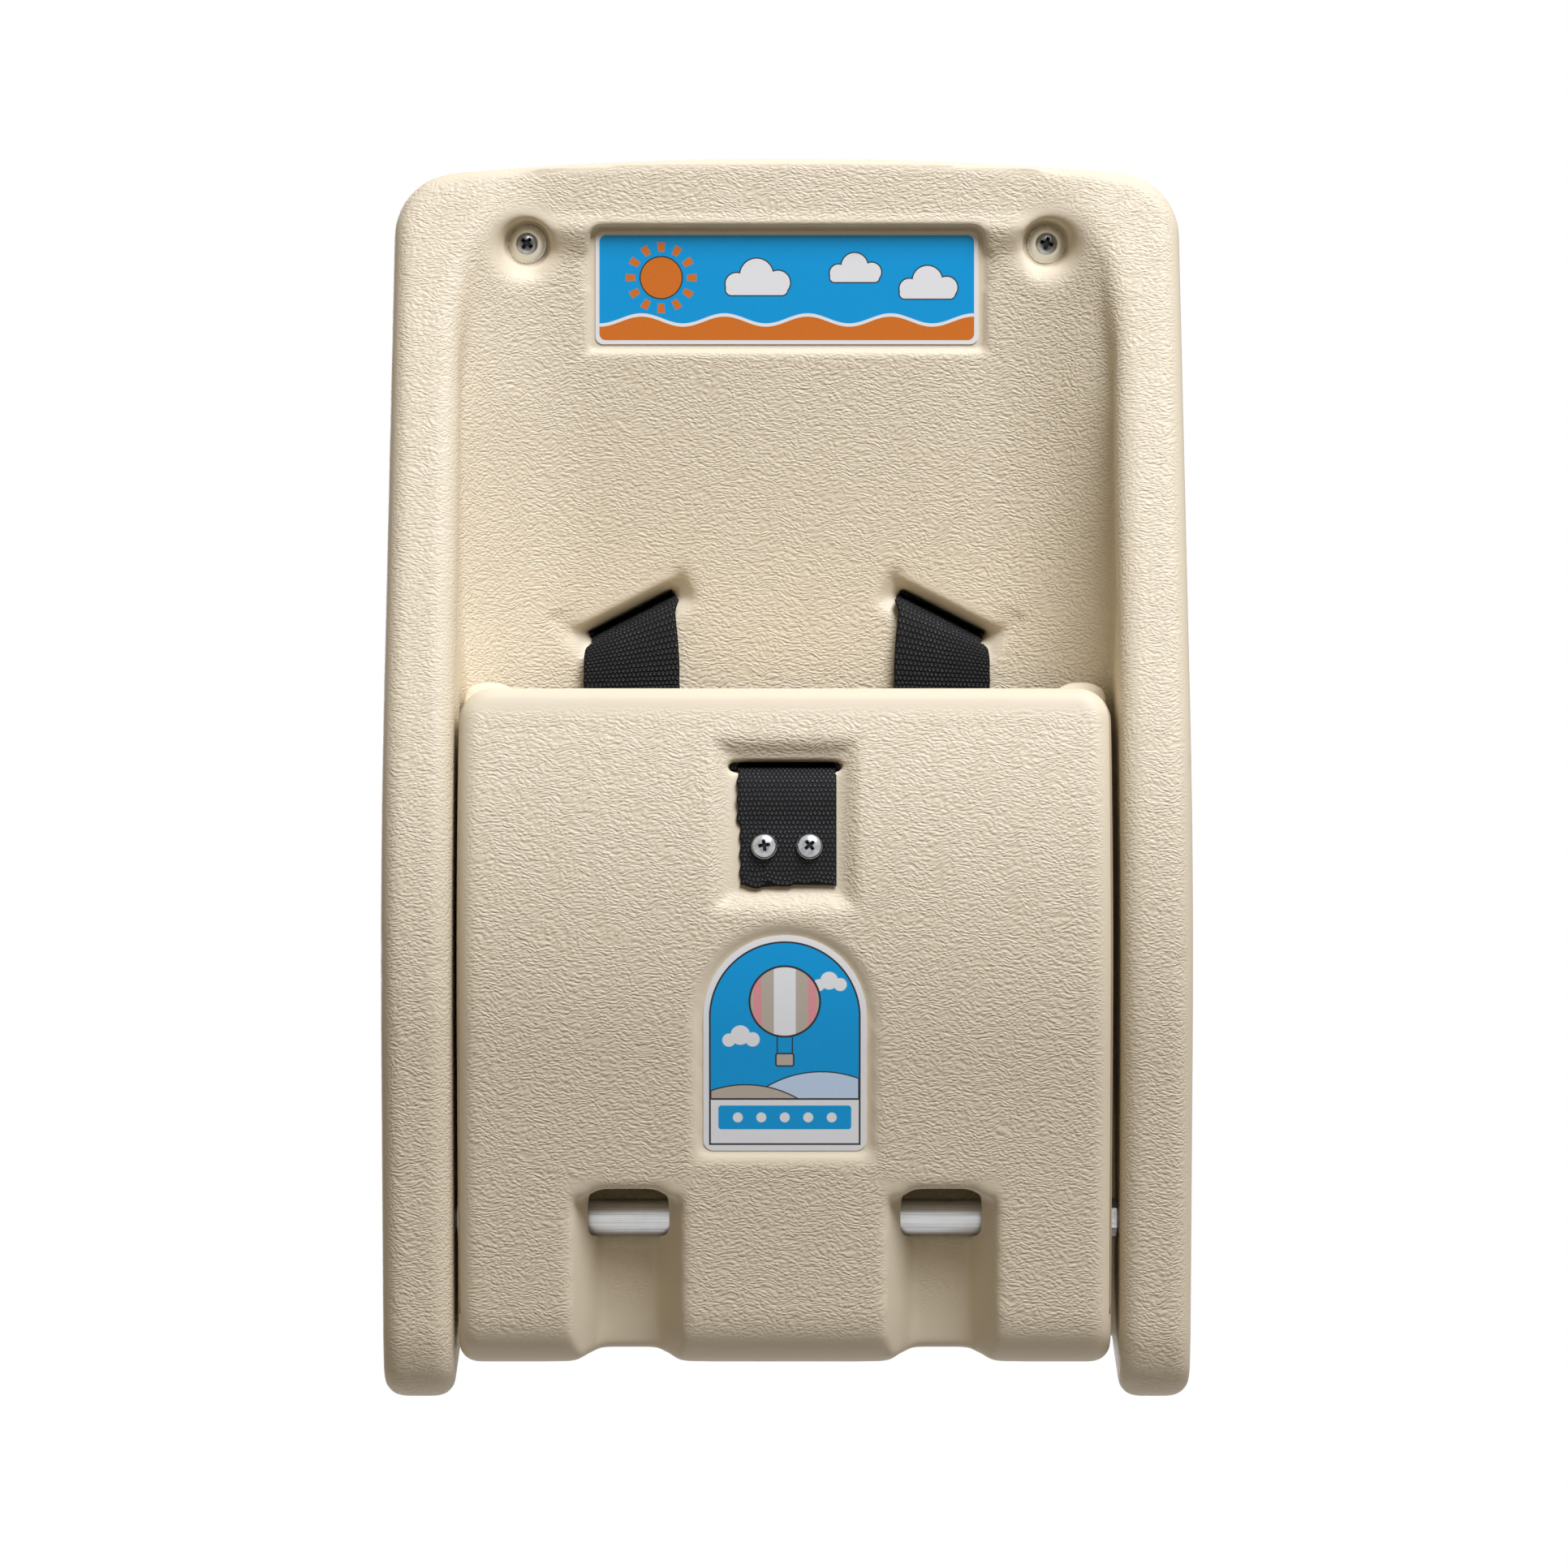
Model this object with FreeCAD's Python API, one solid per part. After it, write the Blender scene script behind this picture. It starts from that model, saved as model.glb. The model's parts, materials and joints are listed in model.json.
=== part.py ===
import FreeCAD, Part
import math
import os

# All sizes are in millimetres and all angles in degrees.
# Depth is measured out from the wall, height up from the lowest edge of the wings.

# Back frame
frame_width = 312.0
frame_height = 487.5
frame_wall = 5.0
top_arch_radius = 1490.0
top_corner_radius = 26.0
top_rim = 20.5
knee_depth = 147.0
knee_height = 170.0
knee_radius = 320.0
upper_lean = 18.5
lower_lean = 6.0
wing_width = 27.6
wing_edge_radius = 8.0
wing_inner_radius = 8.0
wing_foot_radius = 14.0
foot_rise = 36.0
backrest_depth = 58.0
backrest_top_corner = 16.0
backrest_side_radius = 24.0
heel_pocket_radius = 6.0
heel_pocket_margin = 8.0

# Folding seat
side_play = 0.6
seat_bottom = 14.0
seat_top = 275.0
seat_thickness = 50.0
seat_wall = 4.5
seat_top_corner = 13.0
seat_edge_radius = 7.5
seat_foot_radius = 14.0
bolster_width = 20.0
bolster_bottom = 104.0
bolster_rise = 4.5
bolster_edge_radius = 9.0
bolster_rim_radius = 8.5
bolster_root = 14.0
fold_stop_gap = 0.4
heel_stop_gap = 0.4

# Pivot
pivot_height = 70.0
rod_diameter = 14.3
rod_bore = 8.0
rod_fit = 0.05
rod_boss_wall = 5.0
bolt_grip = 30.0
bolt_head_diameter = 13.0
bolt_head_height = 4.8
bolt_head_sink = 0.8
bolt_socket_flats = 5.0
bolt_socket_depth = 2.6
head_washer_rim = 2.0
head_washer_thickness = 1.6
bush_wall = 1.95
bush_rim = 3.0
bush_flange = 1.5
running_gap = 0.3
running_fit = 0.05
counterbore_gap = 2.0
jam_nut_flats = 13.0
jam_nut_thickness = 2.6
thrust_washer_rim = 4.0
thrust_washer_thickness = 1.0

# Rod windows and the channels below them
channel_spacing = 121.0
channel_floor_width = 22.0
channel_mouth_width = 43.0
channel_depth = 22.5
channel_rise = 9.0
channel_notch = 4.7
window_width = 31.0
window_drop = 6.4
window_rise = 12.4
window_corner = 6.0
window_pocket_gap = 3.0

# Wall fixing
screw_pitch_across = 207.0
screw_pitch_up = 304.8
upper_screw_drop = 34.2
wall_screw_diameter = 6.3
wall_screw_neck = 5.4
wall_screw_reach = 38.0
wall_screw_tip = 8.0
wall_head_diameter = 13.6
wall_head_height = 4.4
wall_head_sink = 0.9
wall_washer_diameter = 16.0
wall_washer_thickness = 1.2
screw_pocket_gap = 1.7
screw_dish_rim = 7.3
screw_dish_depth = 2.2
screw_clearance = 0.4
washer_fit = 0.15

# Harness webbing and its slots
web_width = 38.1
web_thickness = 1.6
web_gap = 0.3
slot_end_gap = 1.95
slot_side_gap = 1.7
slot_slope = 27.0
slot_across = 61.6
slot_centre_height = 305.4
slot_mouth_rim = 6.0
slot_mouth_flare = 6.5
slot_mouth_depth = 5.0
tail_length = 46.0
tail_pocket_margin = 5.0
strap_fold_drop = 34.4
strap_stand_off = 3.6
stub_length = 70.0
stub_top_drop = 83.0

# Crotch strap and its pocket on the seat
crotch_slot_drop = 30.6
crotch_slot_end_gap = 2.95
crotch_slot_side_gap = 1.3
crotch_pocket_side = 8.95
crotch_pocket_above = 5.6
crotch_pocket_below = 49.4
crotch_pocket_depth = 4.0
crotch_pocket_step = 3.5
crotch_tail_length = 45.4
crotch_strap_drop = 92.0

# Strap screws
anchor_screw_diameter = 4.8
anchor_screw_neck = 4.2
anchor_screw_length = 16.0
anchor_screw_tip = 4.8
anchor_head_diameter = 9.6
anchor_head_height = 3.0
anchor_head_sink = 0.8
anchor_washer_diameter = 10.4
anchor_washer_thickness = 0.8
anchor_screw_spacing = 17.4
crotch_screw_drop = 29.7
tail_screw_distance = 28.0
head_rim = 0.6
drive_length = 5.0
drive_width = 1.2
drive_depth = 1.8

# Buckle halves
buckle_side = 4.45
buckle_grip = 6.0
buckle_fit = 0.3
socket_length = 40.0
socket_thickness = 12.0
socket_corner = 5.0
socket_edge = 0.6
socket_wall = 2.2
socket_mouth_length = 26.0
socket_latch_height = 11.0
socket_latch_depth = 5.0
socket_latch_rise = 9.0
tongue_body_length = 17.0
tongue_thickness = 6.4
tongue_prong_width = 8.0
tongue_prong_length = 22.0
tongue_guide_width = 9.0
tongue_step = 1.0
tongue_corner = 2.0

# Labels
label_thickness = 0.4
back_label_width = 152.4
back_label_height = 45.0
back_label_corner = 3.2
back_label_drop = 51.9
back_recess_margin = 2.1
back_recess_depth = 1.8
back_recess_corner = 4.0
arch_recess_width = 68.5
arch_recess_bottom = 94.3
arch_recess_top = 183.0
arch_recess_depth = 1.8
arch_recess_corner = 4.0
arch_label_margin = 3.0

# Worked out from the sizes above
half_frame = frame_width / 2
half_opening = half_frame - wing_width
backrest_top = frame_height - top_rim
upper_screw_height = frame_height - upper_screw_drop
lower_screw_height = upper_screw_height - screw_pitch_up
mount_height = (upper_screw_height + lower_screw_height) / 2
back_label_centre = frame_height - back_label_drop
screw_pocket_diameter = wall_washer_diameter + 2 * screw_pocket_gap
screw_pocket_depth = wall_washer_thickness + wall_head_height + wall_head_sink
screw_dish_diameter = screw_pocket_diameter + 2 * screw_dish_rim
left_gap = thrust_washer_thickness + side_play
right_gap = jam_nut_thickness + side_play
half_seat = half_opening - (left_gap + right_gap) / 2
seat_offset = (right_gap - left_gap) / 2
heel_reach = pivot_height - seat_bottom
pivot_depth = backrest_depth + heel_reach + heel_stop_gap
window_bottom = pivot_height - window_drop
window_top = pivot_height + window_rise
channel_top = pivot_height + channel_rise
bush_bore = rod_bore + 2 * running_fit
bush_diameter = bush_bore + 2 * bush_wall
bush_flange_diameter = bush_diameter + 2 * bush_rim
counterbore_diameter = bush_flange_diameter + 2 * counterbore_gap
counterbore_depth = bush_flange + running_gap + head_washer_thickness + bolt_head_height + bolt_head_sink
half_web = web_width / 2
slot_length = web_width + 2 * slot_end_gap
slot_height = web_thickness + 2 * slot_side_gap
slot_mouth_length = slot_length + 2 * slot_mouth_rim
slot_mouth_height = slot_height + 2 * slot_mouth_flare
tail_start = anchor_head_sink + anchor_head_height + anchor_washer_thickness
tail_pocket_depth = tail_start + web_thickness + web_gap
strap_front = backrest_depth + strap_stand_off + web_thickness
strap_fold_height = slot_centre_height - strap_fold_drop
stub_top = slot_centre_height - stub_top_drop
stub_bottom = stub_top - stub_length
crotch_slot_height = seat_top - crotch_slot_drop
crotch_slot_width = web_width + 2 * crotch_slot_end_gap
crotch_slot_gap = web_thickness + 2 * crotch_slot_side_gap
crotch_pocket_width = web_width + 2 * crotch_pocket_side
crotch_tail_inset = crotch_pocket_depth - web_gap - web_thickness
crotch_screw_height = crotch_slot_height - crotch_screw_drop
tongue_joint = crotch_slot_height - crotch_strap_drop
half_buckle = half_web + buckle_side
half_mouth = half_buckle - socket_wall

# How far cutting shapes run past what they cut, and how close counts as touching
far = 2 * frame_height
overcut = 1.0
touching = 0.05


# Points and simple solids
def at(x, depth, height):
    return FreeCAD.Vector(x, -depth, height - mount_height)


def prism_out(points, start, end):
    # A front-view outline of (x, height) points carried from one depth to another
    corners = [at(x, start, height) for x, height in points]
    face = Part.Face(Part.makePolygon(corners + corners[:1]))
    return face.extrude(FreeCAD.Vector(0, start - end, 0))


def box_between(x, depth, height):
    size = FreeCAD.Vector(x[1] - x[0], depth[1] - depth[0], height[1] - height[0])
    return Part.makeBox(size.x, size.y, size.z, at(x[0], depth[1], height[0]))


def rod_along(start, end, diameter):
    run = end.sub(start)
    return Part.makeCylinder(diameter / 2, run.Length, start, run)


def rounded(shape, radius, chosen):
    edges = [edge for edge in shape.Edges if chosen(edge)]
    return shape.makeFillet(radius, edges)


def middle(edge):
    span = edge.ParameterRange
    point = edge.valueAt((span[0] + span[1]) / 2)
    return point.x, -point.y, point.z + mount_height


def heading(edge):
    # The direction of a straight edge, or nothing for a curved one
    run = edge.Vertexes[-1].Point.sub(edge.Vertexes[0].Point)
    if run.Length < touching or abs(run.Length - edge.Length) > touching:
        return FreeCAD.Vector()
    return run.normalize()


def runs_out(edge):
    return abs(heading(edge).y) > 0.999


def runs_across(edge):
    return abs(heading(edge).x) > 0.999


def runs_through(edge):
    # Along a leaning wall's thickness
    return abs(heading(edge).y) > 0.9


def plate(width, height, corner, start, end, centre_height):
    # An upright plate with rounded corners, centred across the seat
    half = width / 2
    low = centre_height - height / 2
    block = box_between((-half, half), (start, end), (low, low + height))
    return rounded(block, corner, runs_out)


def ring(start, end, outer, inner):
    return rod_along(start, end, outer).cut(rod_along(start, end, inner))


# The front line of the wings, which the seat's underside follows
def front_depth(height, inset=0.0):
    radius = knee_radius - inset
    centre = knee_depth - knee_radius
    high = knee_height + radius * math.sin(math.radians(upper_lean))
    low = knee_height - radius * math.sin(math.radians(lower_lean))
    reach = min(max(height, low), high)
    depth = centre + math.sqrt(radius ** 2 - (reach - knee_height) ** 2)
    above = max(height - high, 0) * math.tan(math.radians(upper_lean))
    below = max(low - height, 0) * math.tan(math.radians(lower_lean))
    return depth - above - below


def front_lean(height):
    # Angle by which the front line faces upwards at a height
    sine = (height - knee_height) / knee_radius
    angle = math.degrees(math.asin(min(max(sine, -1), 1)))
    return min(max(angle, -lower_lean), upper_lean)


def on_front(edge, inset=0.0):
    x, depth, height = middle(edge)
    return abs(depth - front_depth(height, inset)) < touching


def front_edges(x, inset, low, high):
    radius = knee_radius - inset
    bend_high = knee_height + radius * math.sin(math.radians(upper_lean))
    bend_low = knee_height - radius * math.sin(math.radians(lower_lean))
    stops = [low] + [height for height in (bend_low, bend_high) if low < height < high] + [high]
    edges = []
    for start, end in zip(stops, stops[1:]):
        halfway = (start + end) / 2
        points = [at(x, front_depth(height, inset), height) for height in (start, halfway, end)]
        if bend_low < halfway < bend_high:
            edges.append(Part.Arc(points[0], points[1], points[2]).toShape())
        else:
            edges.append(Part.makeLine(points[0], points[2]))
    return edges


def front_block(inset, rear, low, high, left, right):
    # Everything behind the front line, set in by a wall, as far as a rear plane
    edges = front_edges(left, inset, low, high)
    corners = [edges[-1].Vertexes[-1].Point, at(left, rear, high)]
    corners += [at(left, rear, low), edges[0].Vertexes[0].Point]
    edges += [Part.makeLine(a, b) for a, b in zip(corners, corners[1:])]
    face = Part.Face(Part.Wire(edges))
    return face.extrude(FreeCAD.Vector(right - left, 0, 0))


def front_skin(outer, inner, low, high, left, right):
    # A layer of the front between two insets
    rear = front_depth(low, inner) - knee_depth
    block = front_block(outer, rear, low, high, left, right)
    over = overcut
    return block.cut(front_block(inner, rear - over, low - over, high + over, left - over, right + over))


# Back frame
def frame_outline(inset):
    half = half_frame - inset
    top = frame_height - inset
    arch = top_arch_radius - inset
    shoulder = top - arch + math.sqrt(arch ** 2 - half ** 2)
    corners = [at(half, 0, -far), at(half, 0, shoulder), at(-half, 0, shoulder), at(-half, 0, -far)]
    edges = [Part.makeLine(corners[0], corners[1])]
    edges.append(Part.Arc(corners[1], at(0, 0, top), corners[2]).toShape())
    edges += [Part.makeLine(corners[2], corners[3]), Part.makeLine(corners[3], corners[0])]
    block = Part.Face(Part.Wire(edges)).extrude(FreeCAD.Vector(0, -far, 0))
    return rounded(block, top_corner_radius - inset, lambda edge: runs_out(edge) and middle(edge)[2] > 0)


def toe_lift():
    # How far the rounding of the toe lifts its lowest point above the corner of front and foot
    slope = math.degrees(math.atan(foot_rise / front_depth(0)))
    half = (90 + lower_lean - slope) / 2
    centre = wing_foot_radius / math.sin(math.radians(half)) * math.sin(math.radians(slope + half))
    return centre - wing_foot_radius


def frame_block(inset):
    # The frame before its recess is cut: front line, outline and sloping foot
    block = front_block(inset, inset, -foot_rise, frame_height + foot_rise, -half_frame, half_frame)
    drop = foot_rise / front_depth(0)
    start = foot_rise - toe_lift() + inset
    foot = [at(-half_frame, 0, start), at(-half_frame, far, start - far * drop)]
    foot += [at(-half_frame, far, far), at(-half_frame, 0, far)]
    face = Part.Face(Part.makePolygon(foot + foot[:1]))
    return block.common(frame_outline(inset)).common(face.extrude(FreeCAD.Vector(frame_width, 0, 0)))


def recess(grow):
    # The space between the wings, with rounded corners where it meets the backrest
    half = half_opening + grow
    floor = backrest_depth - grow

    def beside_floor(edge):
        return abs(middle(edge)[1] - floor) < touching and abs(middle(edge)[0]) > half - overcut

    space = box_between((-half, half), (floor, far), (-far, backrest_top + grow))
    space = rounded(space, backrest_top_corner, lambda edge: runs_out(edge) and middle(edge)[2] > 0)
    space = rounded(space, backrest_side_radius, beside_floor)
    heel_top = pivot_height + heel_reach + heel_pocket_margin + grow
    heel = box_between((-half, half), (floor, far), (-far, heel_top))
    return space.fuse(rounded(heel, heel_pocket_radius, beside_floor))


def pivot_point(x):
    return at(x, pivot_depth, pivot_height)


def counterbore_floor(side):
    return side * (half_frame - counterbore_depth)


def screw_places():
    for across in (-screw_pitch_across / 2, screw_pitch_across / 2):
        for height in (lower_screw_height, upper_screw_height):
            yield across, height


def in_slot_frame(shape, side):
    # Turns a shape drawn about a level slot at the origin into its place on one side
    placed = shape.copy()
    placed.rotate(FreeCAD.Vector(), FreeCAD.Vector(0, 1, 0), -slot_slope)
    placed.translate(at(-slot_across, 0, slot_centre_height))
    if side > 0:
        return placed.mirror(FreeCAD.Vector(), FreeCAD.Vector(1, 0, 0))
    return placed


def level_box(x, depth, height):
    # A box about a level slot, whose own height is nought
    corner = FreeCAD.Vector(x[0], -depth[1], height[0])
    return Part.makeBox(x[1] - x[0], depth[1] - depth[0], height[1] - height[0], corner)


def slot_mouth():
    # A flared opening in the backrest that narrows inwards to the slot
    wires = []
    deep = backrest_depth - slot_mouth_depth
    for length, height, depth in ((slot_mouth_length, slot_mouth_height, backrest_depth),
                                  (slot_length, slot_height, deep)):
        half = length / 2
        rise = height / 2
        spots = ((-half, -rise), (half, -rise), (half, rise), (-half, rise), (-half, -rise))
        wires.append(Part.makePolygon([FreeCAD.Vector(x, -depth, z) for x, z in spots]))
    return Part.makeLoft(wires, True, True)


def slot_cut(grow):
    # The tunnel for a shoulder strap and the pocket behind it for the screwed tail
    half = slot_length / 2 + grow
    rise = slot_height / 2 + grow
    tunnel = level_box((-half, half), (-overcut, backrest_depth + overcut), (-rise, rise))
    reach = half_web + tail_pocket_margin + grow
    low = -slot_height / 2 - tail_pocket_margin - grow
    high = tail_length + tail_pocket_margin + grow
    return tunnel.fuse(level_box((-reach, reach), (-overcut, tail_pocket_depth + grow), (low, high)))


def tail_screw_hole(diameter, length, across):
    start = FreeCAD.Vector(across, -tail_pocket_depth, tail_screw_distance)
    return Part.makeCylinder(diameter / 2, length, start, FreeCAD.Vector(0, -1, 0))


def screw_offsets():
    return -anchor_screw_spacing / 2, anchor_screw_spacing / 2


def label_recess(grow):
    margin = 2 * (back_recess_margin + grow)
    floor = backrest_depth - back_recess_depth - grow
    return plate(back_label_width + margin, back_label_height + margin, back_recess_corner, floor,
                 backrest_depth + backrest_side_radius, back_label_centre)


def frame_void():
    # The closed air space inside the moulding, clear of everything that passes through it and of the toes
    toe = wing_foot_radius + frame_wall
    keep = [box_between((-half_frame, half_frame), (backrest_depth, far), (-far, toe))]
    keep.append(label_recess(frame_wall))
    for across, height in screw_places():
        boss = screw_dish_diameter + 2 * frame_wall
        keep.append(rod_along(at(across, 0, height), at(across, far, height), boss))
    half = slot_mouth_length / 2
    rise = slot_mouth_height / 2
    mouth = level_box((-half, half), (backrest_depth - 2 * frame_wall, backrest_depth), (-rise, rise))
    for side in (-1, 1):
        keep.append(in_slot_frame(slot_cut(frame_wall), side))
        keep.append(in_slot_frame(mouth, side))
        for across in screw_offsets():
            boss = tail_screw_hole(anchor_screw_diameter + 2 * frame_wall, backrest_depth / 2, across)
            keep.append(in_slot_frame(boss, side))
        boss = counterbore_diameter + 2 * frame_wall
        keep.append(rod_along(pivot_point(0), pivot_point(side * half_frame), boss))
    void = frame_block(frame_wall).cut(recess(frame_wall))
    for solid in keep:
        void = void.cut(solid)
    return void


def frame_shell():
    # The outer form of the moulding with its rounded edges
    block = frame_block(0)

    def at_toe(edge):
        x, depth, height = middle(edge)
        return runs_across(edge) and height < overcut and depth > backrest_depth

    def on_outer_rim(edge):
        x, depth, height = middle(edge)
        under = height < foot_rise + overcut and depth > overcut
        return not runs_across(edge) and (on_front(edge) or under)

    def on_inner_rim(edge):
        x, depth, height = middle(edge)
        level = runs_across(edge) and height < backrest_top - backrest_side_radius
        inside = abs(x) < half_opening + overcut / 2
        return edge.Length > overcut and on_front(edge) and inside and not level

    block = rounded(block, wing_foot_radius, at_toe)
    block = rounded(block, wing_edge_radius, on_outer_rim)
    block = block.cut(recess(0))
    return rounded(block, wing_inner_radius, on_inner_rim)


def frame_cuts():
    # Everything that is cut out of the moulding for the pieces that it carries
    cuts = []
    floor = backrest_depth - screw_pocket_depth
    for across, height in screw_places():
        cuts.append(rod_along(at(across, floor, height), at(across, far, height), screw_pocket_diameter))
        bore = wall_screw_diameter + 2 * screw_clearance
        cuts.append(rod_along(at(across, -overcut, height), at(across, far, height), bore))
        dish = at(across, backrest_depth - screw_dish_depth, height)
        cuts.append(Part.makeCone(screw_pocket_diameter / 2, screw_dish_diameter / 2, screw_dish_depth, dish,
                                  FreeCAD.Vector(0, -1, 0)))
    for side in (-1, 1):
        cuts.append(in_slot_frame(slot_cut(0), side))
        cuts.append(in_slot_frame(slot_mouth(), side))
        for across in screw_offsets():
            hole = tail_screw_hole(anchor_screw_diameter, anchor_screw_length, across)
            cuts.append(in_slot_frame(hole, side))
        outer = pivot_point(side * half_frame)
        step = pivot_point(counterbore_floor(side))
        cuts.append(rod_along(step, outer, counterbore_diameter))
        cuts.append(rod_along(pivot_point(side * (half_opening - overcut)), step, bush_diameter))
    cuts.append(label_recess(0))
    return cuts


def make_back_frame():
    frame = frame_shell()
    for cut in frame_cuts():
        frame = frame.cut(cut)
    return frame.cut(frame_void())


# Folding seat, drawn folded up against the back and centred; on_seat moves its pieces to their place
def on_seat(shape):
    moved = shape.copy()
    moved.translate(FreeCAD.Vector(-seat_offset, 0, 0))
    return moved


def seat_core(inset):
    half = half_seat - inset
    return front_skin(inset, seat_thickness - inset, seat_bottom + inset, seat_top - inset, -half, half)


def bolster_inset():
    # How far the side rims reach back: just short of the rounded corners of the recess, where the
    # folded seat comes to rest
    corner = backrest_side_radius - bolster_edge_radius
    across = corner - left_gap
    back = math.sqrt((corner - fold_stop_gap) ** 2 - across ** 2)
    stop = backrest_depth + corner - back
    contact = seat_top + bolster_rise - bolster_rim_radius
    return (front_depth(contact) - stop) * math.cos(math.radians(front_lean(contact)))


def bolster(side, inset, top):
    # The raised rim along one side of the sitting face
    near = half_seat - bolster_width + inset
    span = sorted((side * near, side * (half_seat - inset)))
    return front_skin(seat_thickness - bolster_root, bolster_inset() - inset, bolster_bottom + inset, top,
                      span[0], span[1])


def rounded_bolster(side):
    rim = rounded(bolster(side, 0, seat_top + bolster_rise), bolster_edge_radius, runs_through)
    return rounded(rim, bolster_rim_radius, lambda edge: on_front(edge, bolster_inset()))


def heel_radius():
    # The heel is rounded about a line straight below the pivot, so that it turns clear of the backrest
    lean = math.radians(lower_lean)
    rear = front_depth(seat_bottom) - seat_thickness / math.cos(lean)
    return (pivot_depth - rear) / (math.tan(lean) + 1 / math.cos(lean))


def rounded_seat_core():
    split = front_depth(seat_bottom, seat_thickness / 2)

    def at_foot(edge):
        return runs_across(edge) and abs(middle(edge)[2] - seat_bottom) < touching

    def at_top_corner(edge):
        return runs_through(edge) and middle(edge)[2] > seat_top - overcut

    def on_side(edge):
        return on_front(edge) and abs(middle(edge)[0]) > half_seat - overcut

    core = seat_core(0)
    core = rounded(core, seat_foot_radius, lambda edge: at_foot(edge) and middle(edge)[1] > split)
    core = rounded(core, heel_radius(), lambda edge: at_foot(edge) and middle(edge)[1] < split)
    core = rounded(core, seat_top_corner, at_top_corner)
    return rounded(core, seat_edge_radius, on_side)


def channel_cut(side, grow):
    # The channel below a rod window, open through the foot of the seat
    lean = math.radians(lower_lean)
    start = seat_bottom - seat_foot_radius
    centre = side * channel_spacing / 2
    wall = (channel_mouth_width - channel_floor_width) / 2 / channel_depth
    corners = []
    for inset, half in ((channel_depth + grow, channel_floor_width / 2 + grow),
                        (-channel_depth, channel_mouth_width / 2 + grow + wall * channel_depth)):
        depth = front_depth(start) - inset * math.cos(lean)
        height = start + inset * math.sin(lean)
        corners.append([at(centre - half, depth, height), at(centre + half, depth, height)])
    loop = [corners[0][0], corners[0][1], corners[1][1], corners[1][0], corners[0][0]]
    rise = channel_top + grow - start
    run = FreeCAD.Vector(0, -rise * math.tan(lean), rise)
    channel = Part.Face(Part.makePolygon(loop)).extrude(run)
    notch = [(centre - channel_floor_width / 2 - grow, seat_bottom + channel_notch + grow),
             (centre + channel_floor_width / 2 + grow, seat_bottom + channel_notch + grow),
             (centre + channel_mouth_width / 2 + grow, seat_bottom),
             (centre + channel_mouth_width / 2 + grow, seat_bottom - overcut),
             (centre - channel_mouth_width / 2 - grow, seat_bottom - overcut),
             (centre - channel_mouth_width / 2 - grow, seat_bottom)]
    return channel.fuse(prism_out(notch, 0, far))


def window_cut(side, grow):
    # The window itself and the pocket behind the upper half of the rod that crosses it
    reach = rod_diameter / 2 + window_pocket_gap + grow
    half = window_width / 2 + grow
    centre = side * channel_spacing / 2
    span = (centre - half, centre + half)
    window = box_between(span, (pivot_depth, far), (window_bottom - grow, window_top + grow))
    window = rounded(window, window_corner, lambda edge: runs_out(edge) and middle(edge)[2] > pivot_height)
    pocket = box_between(span, (pivot_depth - reach, pivot_depth + reach),
                         (pivot_height - grow, window_top + grow))
    return window.fuse(pocket)


def crotch_pocket(grow):
    # A shallow stepped pocket under the crotch strap's tail, and its slot through the seat
    cuts = []
    for step, depth in ((crotch_pocket_step, crotch_pocket_depth / 2), (0, crotch_pocket_depth)):
        half = crotch_pocket_width / 2 + step + grow
        low = crotch_slot_height - crotch_pocket_below - step - grow
        high = crotch_slot_height + crotch_pocket_above + step + grow
        cuts.append(front_skin(-overcut, depth + grow, low, high, -half, half))
    half = crotch_slot_width / 2 + grow
    rise = crotch_slot_gap / 2 + grow
    cuts.append(box_between((-half, half), (0, far), (crotch_slot_height - rise, crotch_slot_height + rise)))
    return cuts[0].multiFuse(cuts[1:])


def crotch_screw_line(across, start, end):
    # Start and end points of a line into the seat, square to its underside, at two insets
    lean = math.radians(front_lean(crotch_screw_height))
    points = []
    for inset in (start, end):
        depth = front_depth(crotch_screw_height) - inset * math.cos(lean)
        points.append(at(across, depth, crotch_screw_height - inset * math.sin(lean)))
    return points


def crotch_screw_hole(across, diameter, length):
    start, end = crotch_screw_line(across, 0, crotch_pocket_depth + length)
    return rod_along(start, end, diameter)


def arch_prism(margin):
    half = arch_recess_width / 2 - margin
    low = arch_recess_bottom + margin
    spring = arch_recess_top - arch_recess_width / 2
    corners = [at(-half, 0, spring), at(-half, 0, low), at(half, 0, low), at(half, 0, spring)]
    edges = [Part.makeLine(a, b) for a, b in zip(corners, corners[1:])]
    edges.append(Part.Arc(corners[3], at(0, 0, spring + half), corners[0]).toShape())
    block = Part.Face(Part.Wire(edges)).extrude(FreeCAD.Vector(0, -far, 0))
    return rounded(block, arch_recess_corner, lambda edge: runs_out(edge) and middle(edge)[2] < low + overcut)


def arch_layer(margin, outer, inner):
    half = arch_recess_width
    skin = front_skin(outer, inner, arch_recess_bottom - half, arch_recess_top + half, -half, half)
    return arch_prism(margin).common(skin)


def seat_void():
    void = seat_core(seat_wall)
    for side in (-1, 1):
        void = void.fuse(bolster(side, seat_wall, seat_top - 2 * seat_wall))
    keep = [rod_along(pivot_point(-half_seat), pivot_point(half_seat), rod_diameter + 2 * rod_boss_wall)]
    keep.append(crotch_pocket(seat_wall))
    for side in (-1, 1):
        keep.append(channel_cut(side, seat_wall))
        keep.append(window_cut(side, seat_wall))
    for across in screw_offsets():
        boss = anchor_screw_diameter + 2 * seat_wall
        keep.append(crotch_screw_hole(across, boss, anchor_screw_length + seat_wall))
    foot = heel_radius() + seat_wall
    keep.append(box_between((-half_seat, half_seat), (0, front_depth(0, seat_thickness) + foot),
                            (0, seat_bottom + foot)))
    for solid in keep:
        void = void.cut(solid)
    return void


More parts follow.
